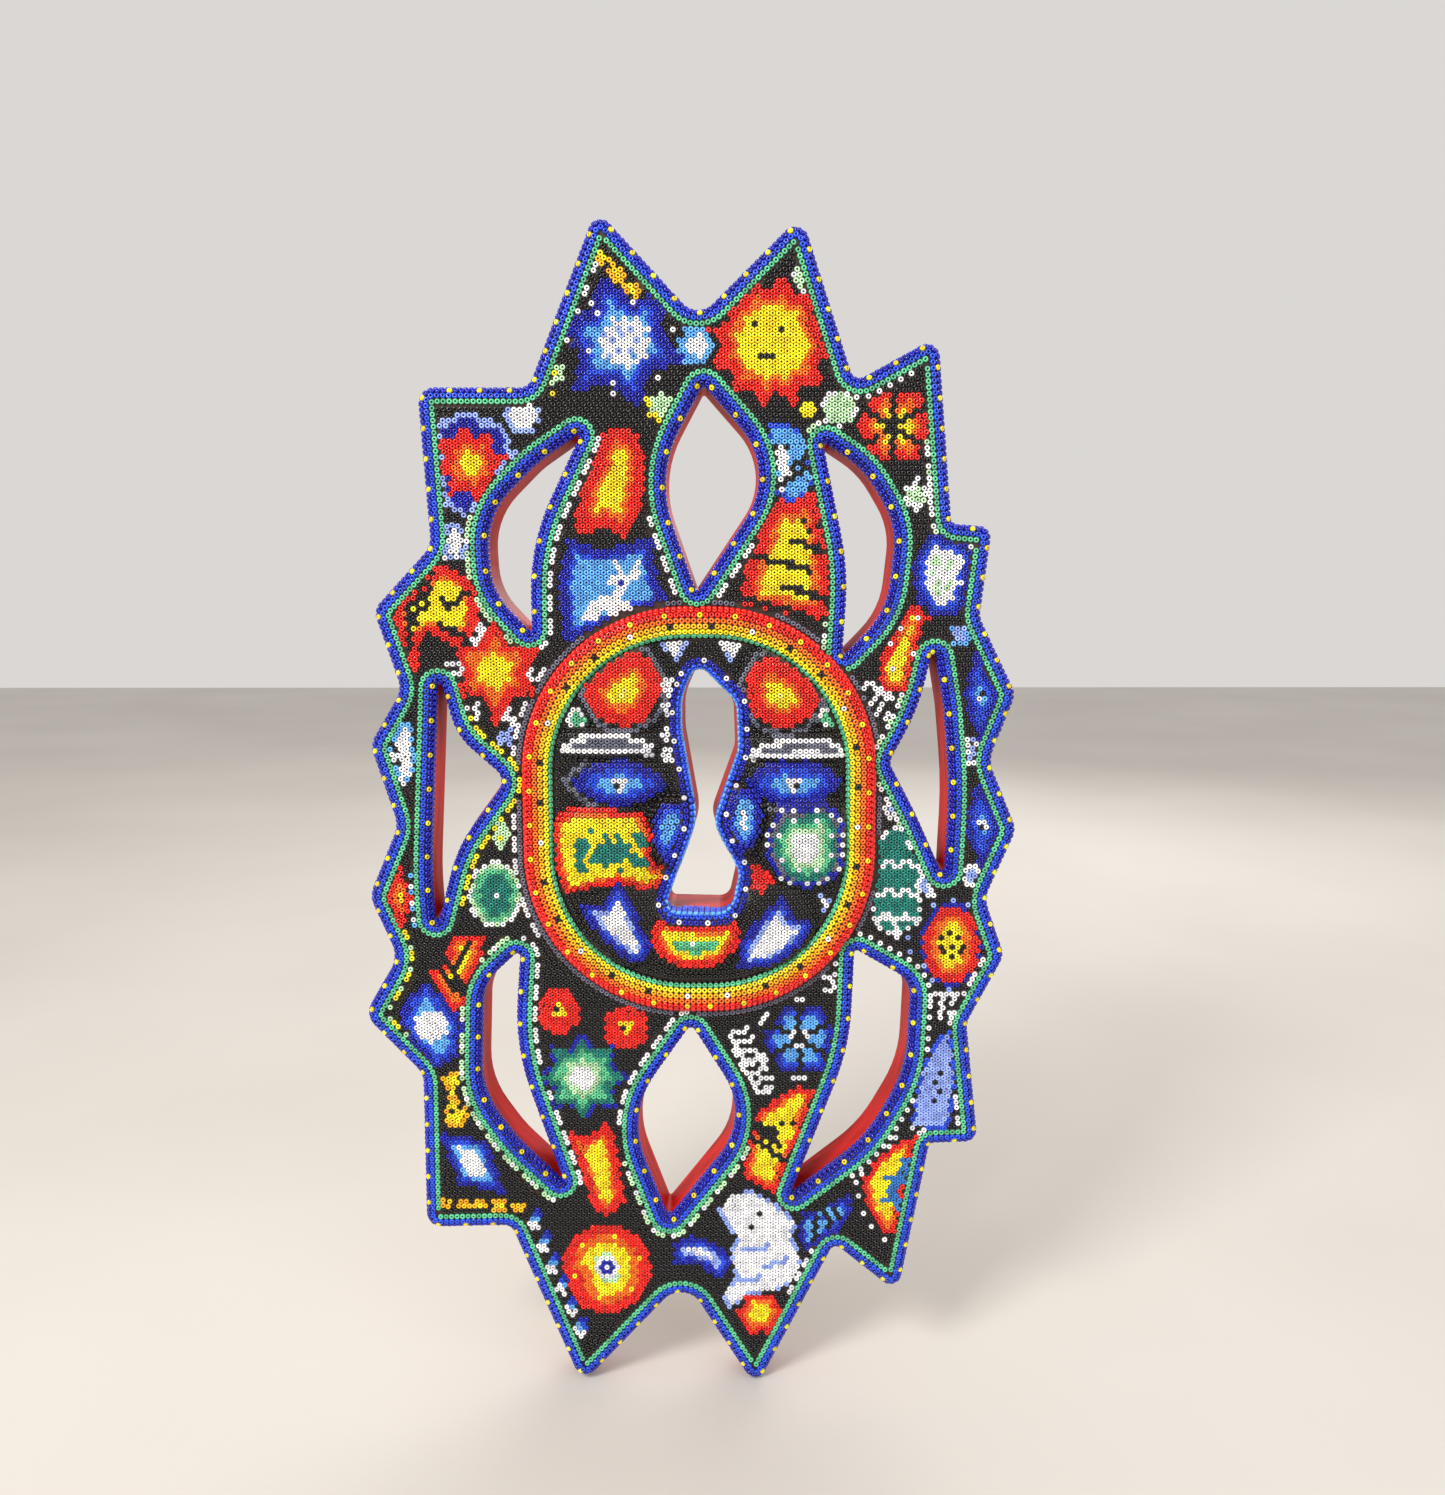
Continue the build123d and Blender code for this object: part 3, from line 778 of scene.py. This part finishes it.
# The pictures of each node, from left to right. The last one also does for any after it.
DESIGNS = {
    "blue_star": [("NNNBBSSSPPP", snowflake(14) + fine("W", *dots(6, 23.0, 75.0)))],
    "sun_face": [("RRROOYYYYYYYYY", fine("K", [(-8.5, 9)], [(8.5, 7)], [(-3, -7), (1.5, -7)]))],
    "small_yellow_stars": plain("YLLL", "YLLL", "YYY"),
    "small_white_flowers": plain("WL", "WLLL", "WP", "WLLL", "WPP", "WPP", "WPP"),
    "small_blue_flowers": [("SWWW", fine("K", [(-9, 9), (-2, 3)], [(-9, -8), (-2, -5)]))]
    + plain("PWWW", "PPP", "PWWW", "SSWWW", "SPP"),
    "petal_flowers": [
        ("NNBSSS", strokes("K", 1.7, arms(6, 0, 22, 30)) + fine("W", *dots(6, 5.0, 0))),
        ("RRROOYY", strokes("K", 1.7, arms(6, 0, 22, 30)))],
    "blue_figure_patches": [
        ("BSSSS", [("W", 5, [(-6, 4)]), ("W", 2.8, [(-6, 0), (-3, -8), (-8, -14)])]
         + fine("K", [(-9.5, 8)], [(-2, 7.5)], [(14, 7), (2, -2)], [(12, -1), (-7, -13)])),
        ("NNBSSS", fine("S", [(-12, -3), (-2, 6), (8, 9)])
         + fine("K", [(-6, 4), (-7, -10)], [(0, 8), (3, -3)], [(6, 10), (9, 2)]))],
    "serpent_patch": [("RRRROOYYYYYY", fine(
        "K", [(12.5, 18.5)], [(19, 17.5)], [(15.5, 12.5)], [(5, 9), (32, -1)], [(-22, 1), (15, -8)],
        [(0, -17), (32, -28)], [(-28, -24), (12, -34)]))],
    "flame_patches": plain("RRROYYYY", "RRRROOYYYYY"),
    "animal_patch": [("NNNBSSSSSSS", [
        ("W", 4.5, [(-14, -14), (-8, -8), (6, -11), (12, -16)]),
        ("W", 3.6, [(0, -8), (5, 3)]),
        ("W", 3.0, [(0, 5), (13, 8)])]
        + fine("W", [(9, 9), (14, 17)], [(3, 8), (2, 15)]) + fine("N", [(5, 5)])
        + fine("K", [(-4, -19), (2, -16)]))],
    "outlined_star": [("PPNNNN", [("star", (star_line(8, 22, 15, 100, (-4, 0)), "RRROOYYYY"))])],
    "eagle_patch": [("RRROYYYYY", fine(
        "K", [(-1, 28), (-5, 8)], [(-8, 22), (-11.5, -1)], [(-15, 12), (-15, -14)],
        [(3, -1), (22, -11)], [(-3, -8), (14, -18)], [(6, 15), (8, 8), (20, 18)]))],
    "red_star": plain("RRROOYYYYY"),
    "diamonds": plain("RROYY", "NNBSWW", "LLYY") + 2 * [
        ("NNBBSS", strokes("W", 2.4, [[(0, -1), (0, 1)]]) + EYE)],
    "green_oval": [("WLGGTTTTT", fine("W", [(0, 0)]))],
    "deer_patch": [("RROOYYYY", fine(
        "K", [(8, 20), (1, 6)], [(-9, 14), (1, -7), (4, -12)], [(-12, 8), (-2, -8)]))],
    "blue_oval": [("NNBBSSS", snowflake(9))],
    "lizard": [("AYYY", fine("K", [(-3, -9)], [(3, -7)], [(3, 5), (7, 9)]))],
    "yellow_stitches": plain("AY"),
    "blue_stitches": [("shade", (60.0, "WWSBN", 2.4))],
    "target_disc": [("RRRROOOYYYYLLLL", fine("Y", *dots(6, 21.0, 75.0)) + [
        ("W", 8.0, [(0, 0)]), ("N", 4.6, [(0, 0)]), ("W", 1.9, [(0, 0)])])],
    "green_star": plain("NTTGGLLWWWW"),
    "red_discs": 2 * [("R", [("Y", 4.6, [(0, 0)])] + EYE)] + plain("RROYYY"),
    "valley_comb": plain("NNBPWWW"),
    "bear_figure": [("PWWWWWW", strokes("K", 1.9, [[(-1.5, 24)], [(-7, 15)]]) + strokes(
        "P", 1.7, [[(-10, -1), (5, 2)], [(2, -12), (17, -7)], [(-12, -20), (0, -19)]]))],
    "half_round_patch": [("RROYYYYY", [("D", 3.2, [(9, 15), (6, 4), (1, -4), (5, -14)])]
                          + fine("D", [(5, 4), (-4, 5)], [(2, -7), (-5, -9)]))],
    "house_patch": [("BPPPPPP", fine("K", [(0, -15)], [(3, -9)], [(0, -3)], [(3, 3)]))],
    "oval_flower": [("NRRROOYYYYYY", fine("K", *dots(8, 7.0)) + EYE)],
    "white_combs": plain("WWW"),
    "feather_patch": [("WTTTTTTT", fine(
        "W", *[[(-12, v), (-6, v + 4), (0, v), (6, v + 4), (12, v)] for v in (9, -9, -25)],
        [(0, -30), (0, -34)]))],
    "round_flower": [("NNBBWWLLLL", fine("W", *arms(6, 0, 12)))],
    "leaf_patch": [("RROYYY", fine(
        "W", [(6, 17)], [(-3, 12)], [(9, 6)], [(-8, 1)], [(4, -3)], [(-7, -11)]))],
    "bar_figure_patch": [("RROYYYYY", fine(
        "K", [(3, 12)], [(9, 12)], [(5.5, 7)], [(-16, 13), (0, 5)], [(-16, 8), (1, -2)],
        [(-16, 2), (4, -13)]) + fine("Y", [(6, 14), (7, 2)]))],
    "brows": plain("K"),
    "eyes": [("NNNBBSSSS", [("W", 4.4, [(0, 0)])] + EYE)],
    "forehead_suns": plain("RRRRROOYYYZZZ"),
    "forehead_triangles": plain("WGG", "PWWW", "PWWW", "WGG", "PWWW"),
    "nose_diamonds": plain("WWW"),
    "nose_wings": plain("NNBSSWWW"),
    "cheek_patches": [("RROYYYYY", [
        ("T", 4.8, [(-17, 6), (-16, -7)]), ("T", 4.8, [(-12, 0), (12, 1)]),
        ("T", 3.2, [(14, 11), (19, 7)]), ("T", 3.4, [(12, -4), (19, -5)])]
        + fine("T", [(-12, 12)], [(-4, 3), (-2, 11)], [(4, 3), (5, 11)], [(-2, -8)], [(5, -8)])
        + [("Y", 1.7, [(-9, 10), (-15, -7)]), ("Y", 3.3, [(14, 3)])])] + plain("RRR"),
    "cheek_disc": [("NNCTTGGLLWWWW", fine("W", *dots(20, 24.0), *dots(8, 15.5, 70)))],
    "jowl_stars": plain("NNBPWWWW"),
    "mouth": [("RRROYYGGLLW", [("W", 1.9, [(0, 0)])])],
}

# Strokes that also run over the ground around a picture.
OVER = {
    "brows": [
        [("C", 2.4, [(-22, -1), (-8, 0.5), (8, 1), (21, -2.5)])] + fine(
            "W", [(-26, -4), (-25, 0), (-18, 3.6), (-3, 5.2), (12, 4.6), (24, 0), (25, -5)],
            [(-26, -4), (-10, -4.2), (6, -3.2), (25, -5)]),
        [("C", 2.4, [(-22, -2.5), (-8, 0.5), (8, 1.6), (23, -2)])] + fine(
            "W", [(-26, -6), (-25, -2.5), (-17, 1.4), (-3, 4.8), (12, 5.6), (25, 1.5), (27, -4)],
            [(-26, -6), (-12, -4.2), (5, -2.6), (27, -4)])],
    "eyes": [fine("C", [(-33, 0), (-20, 12)], [(-33, -1), (-16, -14), (0, -18)]),
             fine("C", [(-16, -14), (0, -18), (18, -12)])],
    "forehead_suns": [
        fine("C", [(25.0 * math.cos(a / 4), 25.5 * math.sin(a / 4)) for a in range(26)])],
    "petal_flowers": [
        fine("W", *[[(26 * math.cos(a + side), 26 * math.sin(a + side)) for side in (-0.1, 0.1)]
                    for a in (0.5, 1.55, 2.6, 3.66, 4.7, 5.75)]), []],
    "half_round_patch": [fine(
        "W", [(12, 38)], [(2, 34)], [(-8, 29)], [(-15, 22)], [(-20, 13)], [(-21, 3)], [(-20, -7)],
        [(-17, -17)], [(-10, -27)], [(-2, -35)])],
    "oval_flower": [fine("P", *dots(14, 27.0))],
    "blue_star": [fine("W", *dots(6, 28.0, 75.0))],
    "house_patch": [strokes("W", 1.7, [[(16, 22), (18, -20)]])],
    "white_combs": [rake(*comb) for comb in (
        (2, 7, 90), (2, 7, 20), (2, 7, 40), (2, 7, -20), (2, 7, 0), (7, 11, -65), (2, 7, 80),
        (4, 13, 150), (4, 14, 180))],
}

free_tree = tree_of(free)


def to_line(u, v, line):
    """Distance from a point to a stroke."""
    if len(line) == 1:
        return math.dist((u, v), line[0])
    best = math.inf
    for (u0, v0), (u1, v1) in zip(line, line[1:]):
        du, dv = u1 - u0, v1 - v0
        t = ((u - u0) * du + (v - v0) * dv) / max(du * du + dv * dv, 1e-9)
        t = min(1.0, max(0.0, t))
        best = min(best, math.hypot(u - u0 - t * du, v - v0 - t * dv))
    return best


def in_star(u, v, corners):
    """True if a point lies within a star."""
    odd = False
    for (u0, v0), (u1, v1) in zip(corners, np.roll(corners, -1, 0)):
        if (v0 > v) != (v1 > v) and u < (u1 - u0) * (v - v0) / (v1 - v0) + u0:
            odd = not odd
    return odd


def one_bead(patch, place):
    """The free bead nearest to a place of a picture, from the picture's middle."""
    found = free_tree.find((patch.middle[0] + place[0], patch.middle[1] + place[1], 0))[0]
    return found[0] - patch.middle[0], found[1] - patch.middle[1]


def touches(patch, u, v, half, line):
    """True if a stroke takes in the bead there. A fine dot takes in one bead only."""
    if len(line) == 1 and half < DOT:
        return math.dist((u, v), one_bead(patch, line[0])) < 0.1
    return to_line(u, v, line) < half


def painted(owner, point):
    """Colour of a bead of a picture."""
    node, number = owner
    patch = patches[node][number]
    designs = DESIGNS[node]
    rows, marks = designs[min(number, len(designs) - 1)]
    u, v = point[0] - patch.middle[0], point[1] - patch.middle[1]
    if rows == "shade":
        turn, shades, step = marks
        along = u * math.cos(math.radians(turn)) + v * math.sin(math.radians(turn))
        return shades[min(len(shades) - 1, max(0, int(along / step + len(shades) / 2)))]
    depth = patch.tree.find((point[0], point[1], 0))[2]
    colour = rows[min(len(rows) - 1, int(depth / ROW))]
    for mark in marks:
        if mark[0] == "star":
            corners, shades = mark[1]
            if in_star(u, v, corners):
                deep = to_line(u, v, [tuple(c) for c in corners] + [tuple(corners[0])])
                colour = shades[min(len(shades) - 1, int(deep / ROW))]
        elif touches(patch, u, v, mark[1], mark[2]):
            colour = mark[0]
    return colour


OVER_REACH = 48        # no stroke of OVER goes further from its picture's middle


def over_ground(point):
    """Colour of a bead of the ground."""
    for node, marks_of in OVER.items():
        for patch, marks in zip(patches[node], marks_of * 2):
            if np.abs(patch.middle[:2] - point).max() > OVER_REACH:
                continue
            for colour, half, line in marks[::-1]:
                if touches(patch, point[0] - patch.middle[0], point[1] - patch.middle[1], half, line):
                    return colour
    return "K"


def in_ring(u, v):
    """True for a place on the panel within the ring's outer edge."""
    return ring_grid[int((u - panel_low[0]) / GRID), int((v - panel_low[1]) / GRID)]


for (u, v), height in zip(free, height_at(free)):
    _, normal, owner = under(u, v)
    if owner is None:
        normal, owner = Vector((0, 0, 1)), ("ground_beads", 0)
    home = owner[0]
    if home in DESIGNS and home not in ("brows", "white_combs"):
        colour = painted(owner, (u, v))
    else:
        colour = over_ground((u, v))
    if home not in DESIGNS:
        on_mask = home in ("mask_ground_beads", "slot_rim_beads", "ring_beads") or in_ring(u, v)
        home = "mask_ground_beads" if on_mask else "ground_beads"
    mids.append((float(u), float(v), float(height)))
    axes.append(tuple(normal))
    colours.append(colour)
    owners.append(home)

# --- Bead meshes ---
SIDES = 12
PROFILE = [            # radius and height of each ring of corners around a bead's hole
    (1.28, -1.08), (1.60, -0.60), (1.69, 0.05), (1.56, 0.66), (1.22, 1.06),
    (0.86, 1.02), (0.64, 0.70), (0.60, -1.00),
]
TONES = (0.80, 1.0, 1.16)              # the shades of each colour, and how rough each is
ROUGHNESS = (0.20, 0.15, 0.24)
LIMIT = 1000          # beads in one piece
BAND = 40.0           # the pieces of one node are cut from bands that high

# sRGB colours of the glass.
COLOURS = {
    "K": (0.07, 0.065, 0.075), "C": (0.40, 0.41, 0.48), "N": (0.07, 0.11, 0.66), "B": (0.13, 0.30, 0.86),
    "D": (0.20, 0.48, 0.78), "S": (0.38, 0.68, 0.96), "P": (0.60, 0.69, 0.98), "W": (0.97, 0.97, 0.99),
    "R": (0.93, 0.12, 0.07), "O": (0.99, 0.45, 0.07), "Y": (1.0, 0.90, 0.08), "A": (1.0, 0.72, 0.04),
    "Z": (1.0, 0.92, 0.42), "G": (0.36, 0.76, 0.56), "L": (0.75, 0.90, 0.72), "T": (0.08, 0.50, 0.45),
}


def linear(value):
    """sRGB to linear."""
    return value / 12.92 if value <= 0.04045 else ((value + 0.055) / 1.055) ** 2.4


def glass(letter, shade):
    """Glossy opaque glass, in one of a few shades as beads of one bag differ."""
    material = bpy.data.materials.new(f"glass_{letter}{shade}")
    material.use_nodes = True
    shader = material.node_tree.nodes["Principled BSDF"]
    colour = [min(1.0, linear(c) * TONES[shade]) for c in COLOURS[letter]]
    shader.inputs["Base Color"].default_value = (*colour, 1.0)
    shader.inputs["Roughness"].default_value = ROUGHNESS[shade]
    shader.inputs["IOR"].default_value = 1.52
    shader.inputs["Coat Weight"].default_value = 0.25
    shader.inputs["Coat Roughness"].default_value = 0.08
    return material


glasses = {}
ring_turn = np.arange(SIDES) * 2 * math.pi / SIDES
template = np.array([(r * math.cos(a), r * math.sin(a), h) for r, h in PROFILE for a in ring_turn])
quads = np.array([
    (k * SIDES + i, k * SIDES + (i + 1) % SIDES,
     (k + 1) % len(PROFILE) * SIDES + (i + 1) % SIDES, (k + 1) % len(PROFILE) * SIDES + i)
    for k in range(len(PROFILE)) for i in range(SIDES)])


def bead_mesh(name, which):
    """One mesh of many beads, each a small ring of glass with its own tilt and shade."""
    count = len(which)
    mid = np.array([mids[i] for i in which])
    axis = np.array([axes[i] for i in which]) + rng.normal(0.0, 0.05, (count, 3))
    axis /= np.linalg.norm(axis, axis=1)[:, None]
    helper = np.where(np.abs(axis[:, :1]) < 0.8, np.array([[1.0, 0, 0]]), np.array([[0, 1.0, 0]]))
    side = np.cross(axis, helper)
    side /= np.linalg.norm(side, axis=1)[:, None]
    turn = rng.uniform(0, 2 * math.pi, count)[:, None]
    other = np.cross(axis, side)
    side, other = side * np.cos(turn) + other * np.sin(turn), other * np.cos(turn) - side * np.sin(turn)
    size = rng.normal(1.0, 0.02, (count, 1, 1)).clip(0.95, 1.04)
    local = template[None] * size
    co = (mid[:, None] + local[..., :1] * side[:, None] + local[..., 1:2] * other[:, None]
          + local[..., 2:] * axis[:, None])
    co = standing(co.reshape(-1, 3))
    faces = (quads[None] + (np.arange(count) * len(template))[:, None, None]).reshape(-1)
    used = []
    slots = np.empty(count, np.int32)
    shades = rng.integers(0, len(TONES), count)
    for n, i in enumerate(which):
        key = (colours[i], int(shades[n]))
        if key not in used:
            used.append(key)
        slots[n] = used.index(key)
    mesh = bpy.data.meshes.new(name)
    mesh.vertices.add(len(co))
    mesh.vertices.foreach_set("co", co.reshape(-1).astype(np.float32))
    mesh.loops.add(len(faces))
    mesh.loops.foreach_set("vertex_index", faces.astype(np.int32))
    total = count * len(quads)
    mesh.polygons.add(total)
    mesh.polygons.foreach_set("loop_start", np.arange(total, dtype=np.int32) * 4)
    mesh.polygons.foreach_set("material_index", np.repeat(slots, len(quads)).astype(np.int32))
    mesh.update(calc_edges=True)
    mesh.polygons.foreach_set("use_smooth", np.ones(total, bool))
    for key in used:
        if key not in glasses:
            glasses[key] = glass(*key)
        mesh.materials.append(glasses[key])
    piece = bpy.data.objects.new(name, mesh)
    bpy.context.scene.collection.objects.link(piece)
    return piece


for node in BEAD_NODES:
    mine = [i for i, owner in enumerate(owners) if owner == node]
    mine.sort(key=lambda i: (round(mids[i][1] / BAND), mids[i][0]))
    parts = max(1, math.ceil(len(mine) / LIMIT))
    for k in range(parts):
        chunk = mine[k * len(mine) // parts:(k + 1) * len(mine) // parts]
        piece = bead_mesh(f"{node}_{k + 1}" if parts > 1 else f"{node}_strung", chunk)
        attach(piece, "root")
        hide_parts(node)

# --- Materials of the wood, wax and steel ---


def node_material(name):
    """A new material, its nodes and its shader."""
    material = bpy.data.materials.new(name)
    material.use_nodes = True
    return material, material.node_tree, material.node_tree.nodes["Principled BSDF"]


def noise(tree, scale, detail=4.0, stretch=(1, 1, 1)):
    """Noise in object coordinates, scaled by axis."""
    place = tree.nodes.new("ShaderNodeTexCoord")
    mapping = tree.nodes.new("ShaderNodeMapping")
    mapping.inputs["Scale"].default_value = stretch
    texture = tree.nodes.new("ShaderNodeTexNoise")
    texture.inputs["Scale"].default_value = scale
    texture.inputs["Detail"].default_value = detail
    tree.links.new(place.outputs["Object"], mapping.inputs["Vector"])
    tree.links.new(mapping.outputs["Vector"], texture.inputs["Vector"])
    return texture.outputs["Fac"]


def ramp(tree, source, stops):
    """Colours along a value: position and linear colour."""
    node = tree.nodes.new("ShaderNodeValToRGB")
    elements = node.color_ramp.elements
    elements[0].position, elements[1].position = stops[0][0], stops[-1][0]
    elements[0].color, elements[1].color = (*stops[0][1], 1), (*stops[-1][1], 1)
    for at, colour in stops[1:-1]:
        elements.new(at).color = (*colour, 1)
    tree.links.new(source, node.inputs["Fac"])
    return node.outputs["Color"]


def bumped(tree, shader, source, distance, strength):
    """Bump on a shader from a value."""
    bump = tree.nodes.new("ShaderNodeBump")
    bump.inputs["Distance"].default_value = distance
    bump.inputs["Strength"].default_value = strength
    tree.links.new(source, bump.inputs["Height"])
    tree.links.new(bump.outputs["Normal"], shader.inputs["Normal"])


def noisy(name, pattern, stops, roughness, bump, extra):
    """A material with one noise in its colour and its surface."""
    material, tree, shader = node_material(name)
    value = noise(tree, *pattern)
    tree.links.new(ramp(tree, value, stops), shader.inputs["Base Color"])
    shader.inputs["Roughness"].default_value = roughness
    for key, number in extra.items():
        shader.inputs[key].default_value = number
    bumped(tree, shader, value, *bump)
    return material


GRAIN = (18.0, 8.0, (14, 14, 0.7))
GRAIN_STOPS = [(0.3, (0.20, 0.10, 0.045)), (0.5, (0.42, 0.25, 0.12)), (0.72, (0.55, 0.36, 0.19))]
GRAIN_BUMP = (0.0006, 0.4)


def carved_wood():
    """Glossy red paint on the walls and bare sawn wood on the back."""
    material, tree, shader = node_material("painted_wood")
    paint = noise(tree, 60.0, 5.0, (1, 4, 0.6))
    red = ramp(tree, paint, [
        (0.3, (0.26, 0.008, 0.006)), (0.55, (0.56, 0.008, 0.005)), (0.8, (0.66, 0.02, 0.012))])
    grain = noise(tree, *GRAIN)
    bare = ramp(tree, grain, GRAIN_STOPS)
    geometry = tree.nodes.new("ShaderNodeNewGeometry")
    split = tree.nodes.new("ShaderNodeSeparateXYZ")
    tree.links.new(geometry.outputs["True Normal"], split.inputs["Vector"])
    back = tree.nodes.new("ShaderNodeMapRange")
    back.inputs["From Min"].default_value = 0.8
    back.inputs["From Max"].default_value = 0.95
    tree.links.new(split.outputs["Y"], back.inputs["Value"])
    mix = tree.nodes.new("ShaderNodeMix")
    mix.data_type = "RGBA"
    tree.links.new(back.outputs["Result"], mix.inputs["Factor"])
    tree.links.new(red, mix.inputs["A"])
    tree.links.new(bare, mix.inputs["B"])
    tree.links.new(mix.outputs["Result"], shader.inputs["Base Color"])
    dull = tree.nodes.new("ShaderNodeMapRange")
    dull.inputs["To Min"].default_value = 0.45
    dull.inputs["To Max"].default_value = 0.75
    tree.links.new(back.outputs["Result"], dull.inputs["Value"])
    tree.links.new(dull.outputs["Result"], shader.inputs["Roughness"])
    shader.inputs["Specular IOR Level"].default_value = 0.2
    bumped(tree, shader, grain, *GRAIN_BUMP)
    return material


def bare_wood():
    """Bare wood of the ring and the mask, under their wax."""
    return noisy("bare_wood", GRAIN, GRAIN_STOPS, 0.7, GRAIN_BUMP, {})


def beeswax():
    """Soft wax that shows between the beads, coloured nearly black as painted shade for the gaps between
    them.
    """
    # near-black stops: painted shade in the gaps between beads, not only the wax's own colour
    stops = [(0.35, (0.012, 0.005, 0.002)), (0.65, (0.045, 0.018, 0.006))]
    return noisy("beeswax", (90.0, 6.0), stops, 0.5, (0.0004, 0.5), {"Subsurface Weight": 0.05})


def zinc():
    """Brushed zinc-plated steel."""
    stops = [(0.3, (0.38, 0.38, 0.37)), (0.7, (0.60, 0.60, 0.58))]
    return noisy("zinc_steel", (400.0, 3.0, (0.3, 4, 6)), stops, 0.38, (0.0001, 0.3), {"Metallic": 1.0})


def finish_node(node, material):
    """Gives a CAD node its material."""
    mesh = nodes[node].data
    mesh.materials.clear()
    mesh.materials.append(material)


bare = bare_wood()
steel = zinc()
finish_node("carved_board", carved_wood())
finish_node("ring_moulding", bare)
finish_node("mask_carving", bare)
finish_node("beeswax", beeswax())
finish_node("hanger_plate", steel)
finish_node("hanger_screws", steel)

# --- Floor, light and camera ---
box_low, box_high = cad_box
middle = [(a + b) / 2 for a, b in zip(box_low, box_high)]


def floor():
    """Plain pale floor just under the lowest tip."""
    half = 3.0
    gap = 0.0005
    mesh = bpy.data.meshes.new("floor")
    z = box_low[2] - gap
    corners = [(-half, -half, z), (half, -half, z), (half, half, z), (-half, half, z)]
    mesh.from_pydata(corners, [], [(0, 1, 2, 3)])
    material, tree, shader = node_material("floor")
    colour = ramp(tree, noise(tree, 3.0, 3.0), [(0.3, (0.58, 0.55, 0.51)), (0.7, (0.63, 0.60, 0.56))])
    tree.links.new(colour, shader.inputs["Base Color"])
    shader.inputs["Roughness"].default_value = 0.8
    mesh.materials.append(material)
    piece = bpy.data.objects.new("floor", mesh)
    bpy.context.scene.collection.objects.link(piece)


def lamp(name, place, size, power, colour):
    """Soft square lamp that faces the panel's middle."""
    data = bpy.data.lights.new(name, "AREA")
    data.size = size
    data.energy = power
    data.color = colour
    piece = bpy.data.objects.new(name, data)
    piece.location = place
    piece.rotation_euler = (Vector(middle) - Vector(place)).to_track_quat("-Z", "Y").to_euler()
    bpy.context.scene.collection.objects.link(piece)


floor()
lamp("key", (-0.67, -0.92, 0.73), 0.43, 18.0, (1.0, 0.97, 0.93))
lamp("fill", (0.85, -0.98, 0.12), 0.98, 5.2, (0.94, 0.97, 1.0))
lamp("back", (0.37, 1.1, 0.55), 0.98, 8.0, (1.0, 0.98, 0.95))
world = bpy.data.worlds.new("studio")
world.use_nodes = True
world.node_tree.nodes["Background"].inputs["Color"].default_value = (0.95, 0.92, 0.89, 1.0)
world.node_tree.nodes["Background"].inputs["Strength"].default_value = 0.74
bpy.context.scene.world = world

# The camera stands close in front of the upper half and looks slightly down.
camera_data = bpy.data.cameras.new("camera")
camera_data.lens = 29.86
camera_data.sensor_width = 36.0
camera_data.clip_start = 0.01
camera = bpy.data.objects.new("camera", camera_data)
DOWN = math.radians(7.92)
RIGHT = math.radians(0.34)
camera.location = (0.0061, -0.4642, -0.0766)
forward = Vector((math.sin(RIGHT) * math.cos(DOWN), math.cos(RIGHT) * math.cos(DOWN), -math.sin(DOWN)))
camera.rotation_euler = forward.to_track_quat("-Z", "Y").to_euler()
bpy.context.scene.collection.objects.link(camera)
bpy.context.scene.camera = camera
bpy.context.scene.view_settings.view_transform = "Standard"     # keeps the glass's strong colours
